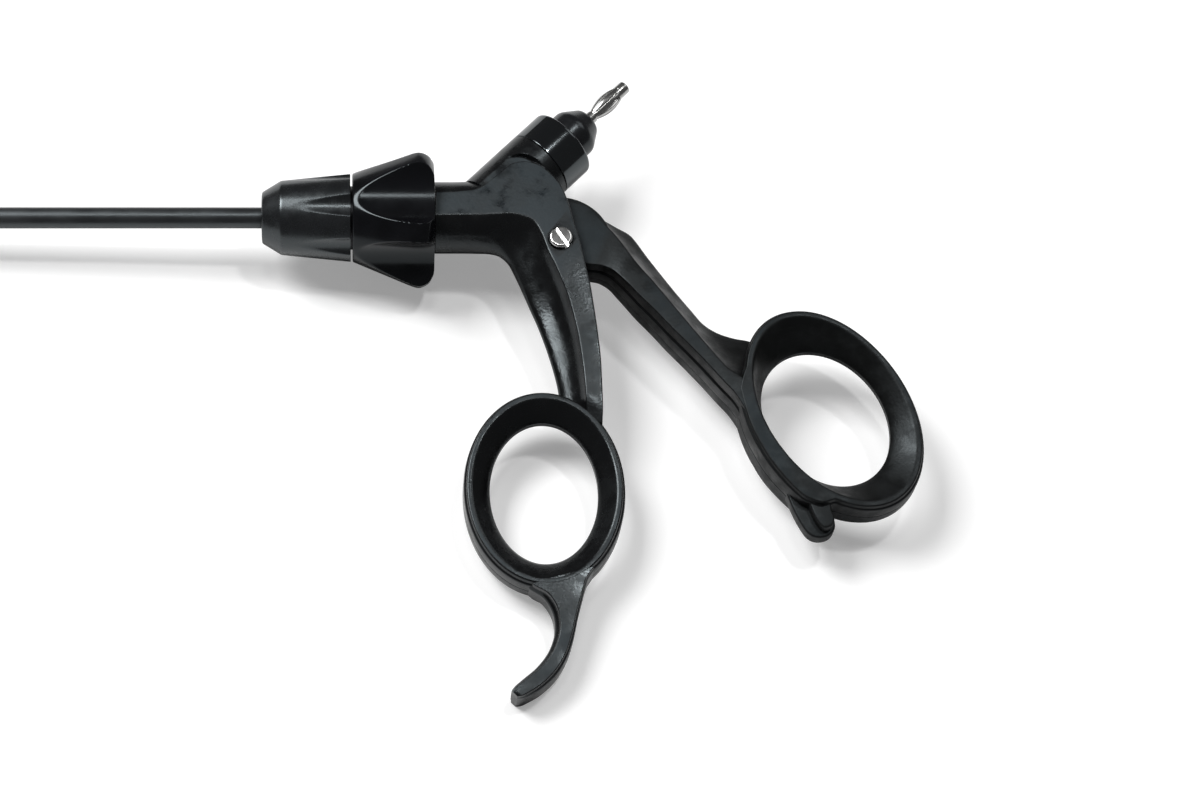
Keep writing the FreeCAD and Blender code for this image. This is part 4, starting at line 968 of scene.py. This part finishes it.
# Nub: a small stop under the thumb ring, a broad foot at the mid-plane with a leaf over it
NUB_FOOT = [(120.2, -71.6), (121.2, -74.6), (122.6, -78.0), (124.5, -81.2), (126.7, -82.3),
            (129.3, -81.8), (130.8, -79.9), (130.7, -77.4), (129.9, -75.2), (130.6, -72.8),
            (125.0, -70.0)]
NUB_LEAF = [(121.6, -68.6), (123.6, -71.8), (124.9, -75.2), (126.0, -78.4), (127.7, -80.8),
            (129.6, -80.4), (130.4, -78.6), (129.9, -76.6), (130.0, -74.8), (131.4, -73.2),
            (128.5, -70.6), (125.0, -68.9)]
NUB_FOOT_Z = 1.9
NUB_LEAF_Z = 4.7
NUB_EDGE = 0.5
foot = plate("nub_foot", between(NUB_FOOT + NUB_FOOT[:1], 5)[:-1], NUB_FOOT_Z, NUB_EDGE)
nub = plate("nub_leaf", between(NUB_LEAF + NUB_LEAF[:1], 5)[:-1], NUB_LEAF_Z, NUB_EDGE)

# The lever's flats are paler than its curved faces: stain clouds together with painted sheen,
# through the flatness mask
lever_paint = moulded_plastic("lever_black", (0.004, 0.004, 0.004), (0.007, 0.010, 0.012),
                              rough=0.40, grain=1500.0, relief=0.00006, patch=44.0, gloss=0.22,
                              spread=0.2, curved=0.95)
joined(lever, [head, thumb_ring, foot, nub])
mark_flats(lever, FLAT_Z)
lever.data.materials.append(lever_paint)
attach(lever, "lever")
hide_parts("thumb_lever")


# Post cap and nipple
# Glossy black cap screwed on the post, and the satin insulating nipple round the foot of the plug
# pin. Both are turned shapes about the post's axis.

CAP_END = 28.4
CAP_BORE = 4.0
NIPPLE_R = 6.1
NIPPLE_SHOULDER = 32.6
NIPPLE_END = 37.0
NIPPLE_END_R = 3.3
NIPPLE_FOOT = 4.0
NIPPLE_GAP = 0.02
PIN_NECK_R = 1.5
POST_SPACING = 0.3

cap_paint = moulded_plastic("cap_gloss_black", (0.002, 0.002, 0.0025), (0.004, 0.004, 0.005),
                            rough=0.10, grain=900.0, relief=0.00001, patch=60.0, gloss=1.0)
cap_corners = [(CAP_START + CAP_SEAM, CAP_BORE), (CAP_START + CAP_SEAM, POST_R),
               (CAP_END, POST_R), (CAP_END, CAP_BORE)]
cap_section = long_run(cap_corners, (0, 0.25, 0.7, 0), POST_SPACING)
cap = turned("post_cap_turned", cap_section, 160, about_post)
cap.data.materials.append(cap_paint)
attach(cap, "handle")
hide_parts("post_cap")

nipple_paint = moulded_plastic("nipple_black", (0.004, 0.004, 0.005), (0.006, 0.006, 0.007),
                               rough=0.21, grain=1300.0, relief=0.00003, patch=80.0)
nipple_corners = [(CAP_END - NIPPLE_FOOT, PIN_NECK_R + NIPPLE_GAP),
                  (CAP_END - NIPPLE_FOOT, CAP_BORE - NIPPLE_GAP), (CAP_END, CAP_BORE - NIPPLE_GAP),
                  (CAP_END, NIPPLE_R), (NIPPLE_SHOULDER, NIPPLE_R), (NIPPLE_END, NIPPLE_END_R),
                  (NIPPLE_END, PIN_NECK_R + NIPPLE_GAP)]
nipple_section = long_run(nipple_corners, (0, 0, 0, 0, 0.9, 0.9, 0), POST_SPACING)
nipple = turned("post_nipple_turned", nipple_section, 128, about_post)
nipple.data.materials.append(nipple_paint)
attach(nipple, "handle")
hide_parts("post_nipple")


# Plug pin
# Nickel-plated pin held in the nipple: a turned core with a plain tip, and round it a cage of bowed
# spring leaves between two bands, which grips the socket of the cable.

PIN_END = 50.4
PIN_TIP_R = 1.6
PIN_TIP = 2.5
PIN_CORE_R = 0.6
PIN_FOOT = CAP_START + 1.0
PIN_AROUND = 72
LEAF_ROOT_R = 1.1
LEAF_BULGE_R = 2.25
LEAF_FRONT_R = 1.5
LEAF_THICK = 0.25
LEAVES = 8
LEAF_SPAN = 21.0
LEAF_NARROWING = 0.25
LEAF_TURN = 0.3
BOW_POWER = 0.9
BAND_LENGTH = 0.9
BAND_HEIGHT = 0.1
CAGE_START = NIPPLE_END + 1.8
CAGE_END = PIN_END - PIN_TIP

pin_paint = bright_metal("pin_nickel", (0.52, 0.52, 0.51), 0.20)
core_corners = [(PIN_FOOT, NEAR_AXIS), (PIN_FOOT, PIN_NECK_R), (CAGE_START, PIN_NECK_R),
                (CAGE_START, PIN_CORE_R), (CAGE_END, PIN_CORE_R), (CAGE_END, PIN_TIP_R),
                (PIN_END, PIN_TIP_R), (PIN_END, NEAR_AXIS)]
core_section = soft_section(core_corners, (0, 0, 0.15, 0, 0, 0.15, 0.5, 0))
core = turned("pin_core_turned", core_section, PIN_AROUND, about_post)
core.data.materials.append(pin_paint)
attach(core, "handle")
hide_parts("pin_core")


def leaf(name, middle):
    """One bowed leaf: its radius is a straight run from the root's to the front's plus a half sine
    raised to the bow's power; each section is an arc of the leaf's width on the outside and back
    along the inside, and the width narrows by a half sine towards the middle."""
    share = np.linspace(0, 1, 33)[:, None]
    along = CAGE_START + (CAGE_END - CAGE_START) * share
    run = LEAF_ROOT_R + (LEAF_FRONT_R - LEAF_ROOT_R) * share
    rise = LEAF_BULGE_R - (LEAF_ROOT_R + LEAF_FRONT_R) / 2
    bow = np.sin(math.pi * share)
    inner = run - LEAF_THICK + rise * bow ** BOW_POWER
    width = math.radians(LEAF_SPAN) / 2 * (1 + LEAF_NARROWING - LEAF_NARROWING * bow)
    across = np.linspace(-1, 1, 9)[None, :]
    outside = about_post(along, inner + LEAF_THICK, middle + width * across)
    inside = about_post(along, inner, middle + width * across[:, ::-1])
    return surface(name, np.concatenate([outside, inside], axis=1))


def band(start, radius):
    """A plain ring round the core."""
    section = [(start, PIN_CORE_R), (start, radius), (start + BAND_LENGTH, radius),
               (start + BAND_LENGTH, PIN_CORE_R)]
    return turned("pin_band", section, PIN_AROUND, about_post)


cage = band(CAGE_START, LEAF_ROOT_R + BAND_HEIGHT)
cage_parts = [band(CAGE_END - BAND_LENGTH, LEAF_FRONT_R + BAND_HEIGHT)]
cage_parts += [leaf("pin_leaf", 2 * math.pi * (k + LEAF_TURN) / LEAVES) for k in range(LEAVES)]
cage.name = "pin_leaves"
joined(cage, cage_parts)
cage.data.materials.append(pin_paint)
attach(cage, "handle")
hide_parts("pin_cage")


# Parts inside and at the tip
# Steel tube, rod, jaws and their pins, bronze bushes, brass contacts, white polymer rings and the
# rubber seal keep their turned and ground CAD shapes; each gets the finish of its material, except
# the hub sleeve, which is painted near black as shade in the gap between nut and knob.

DRAWN = (0.05, 1.0, 1.0)
GROUND = (1.0, 0.1, 1.0)
TURNED = (1.0, 0.1, 0.1)

inner_finishes = {
    "tube_steel": bright_metal("drawn_tube", (0.60, 0.60, 0.61), 0.24, along=DRAWN),
    "jaw_steel": bright_metal("ground_jaw_steel", (0.66, 0.66, 0.67), 0.22, along=GROUND,
                              grain=1800.0),
    "rod_steel": bright_metal("drawn_rod", (0.62, 0.62, 0.63), 0.20, along=DRAWN),
    "screw_steel": screw_paint,
    "contact_brass": bright_metal("turned_brass", (0.75, 0.60, 0.32), 0.22),
    "hub_steel": bright_metal("turned_hub", (0.58, 0.58, 0.60), 0.24, along=TURNED),
    "bush_bronze": bright_metal("sintered_bronze", (0.62, 0.46, 0.28), 0.42, grain=2400.0,
                                relief=0.00003),
    "white_polymer": moulded_plastic("white_polymer", (0.72, 0.72, 0.70), (0.80, 0.80, 0.78),
                                     rough=0.38, grain=1200.0, relief=0.00003),
    "seal_rubber": moulded_plastic("seal_rubber", (0.018, 0.018, 0.018), (0.028, 0.028, 0.028),
                                   rough=0.62, grain=1600.0, relief=0.00005),
}
# Painted shade: the hub sleeve, seen only through the narrow gap between nut and knob, gets a
# near-black finish so that the gap reads dark
hub_gap_shade = bright_metal("hub_painted_gap_shade", (0.03, 0.03, 0.032), 0.35, along=TURNED)
for part in frame["record"]["subparts"]:
    paint = hub_gap_shade if part["node"] == "hub_sleeve" else inner_finishes.get(part["material_slot"])
    if paint:
        for material_slot in frame["nodes"][part["node"]].material_slots:
            material_slot.material = paint
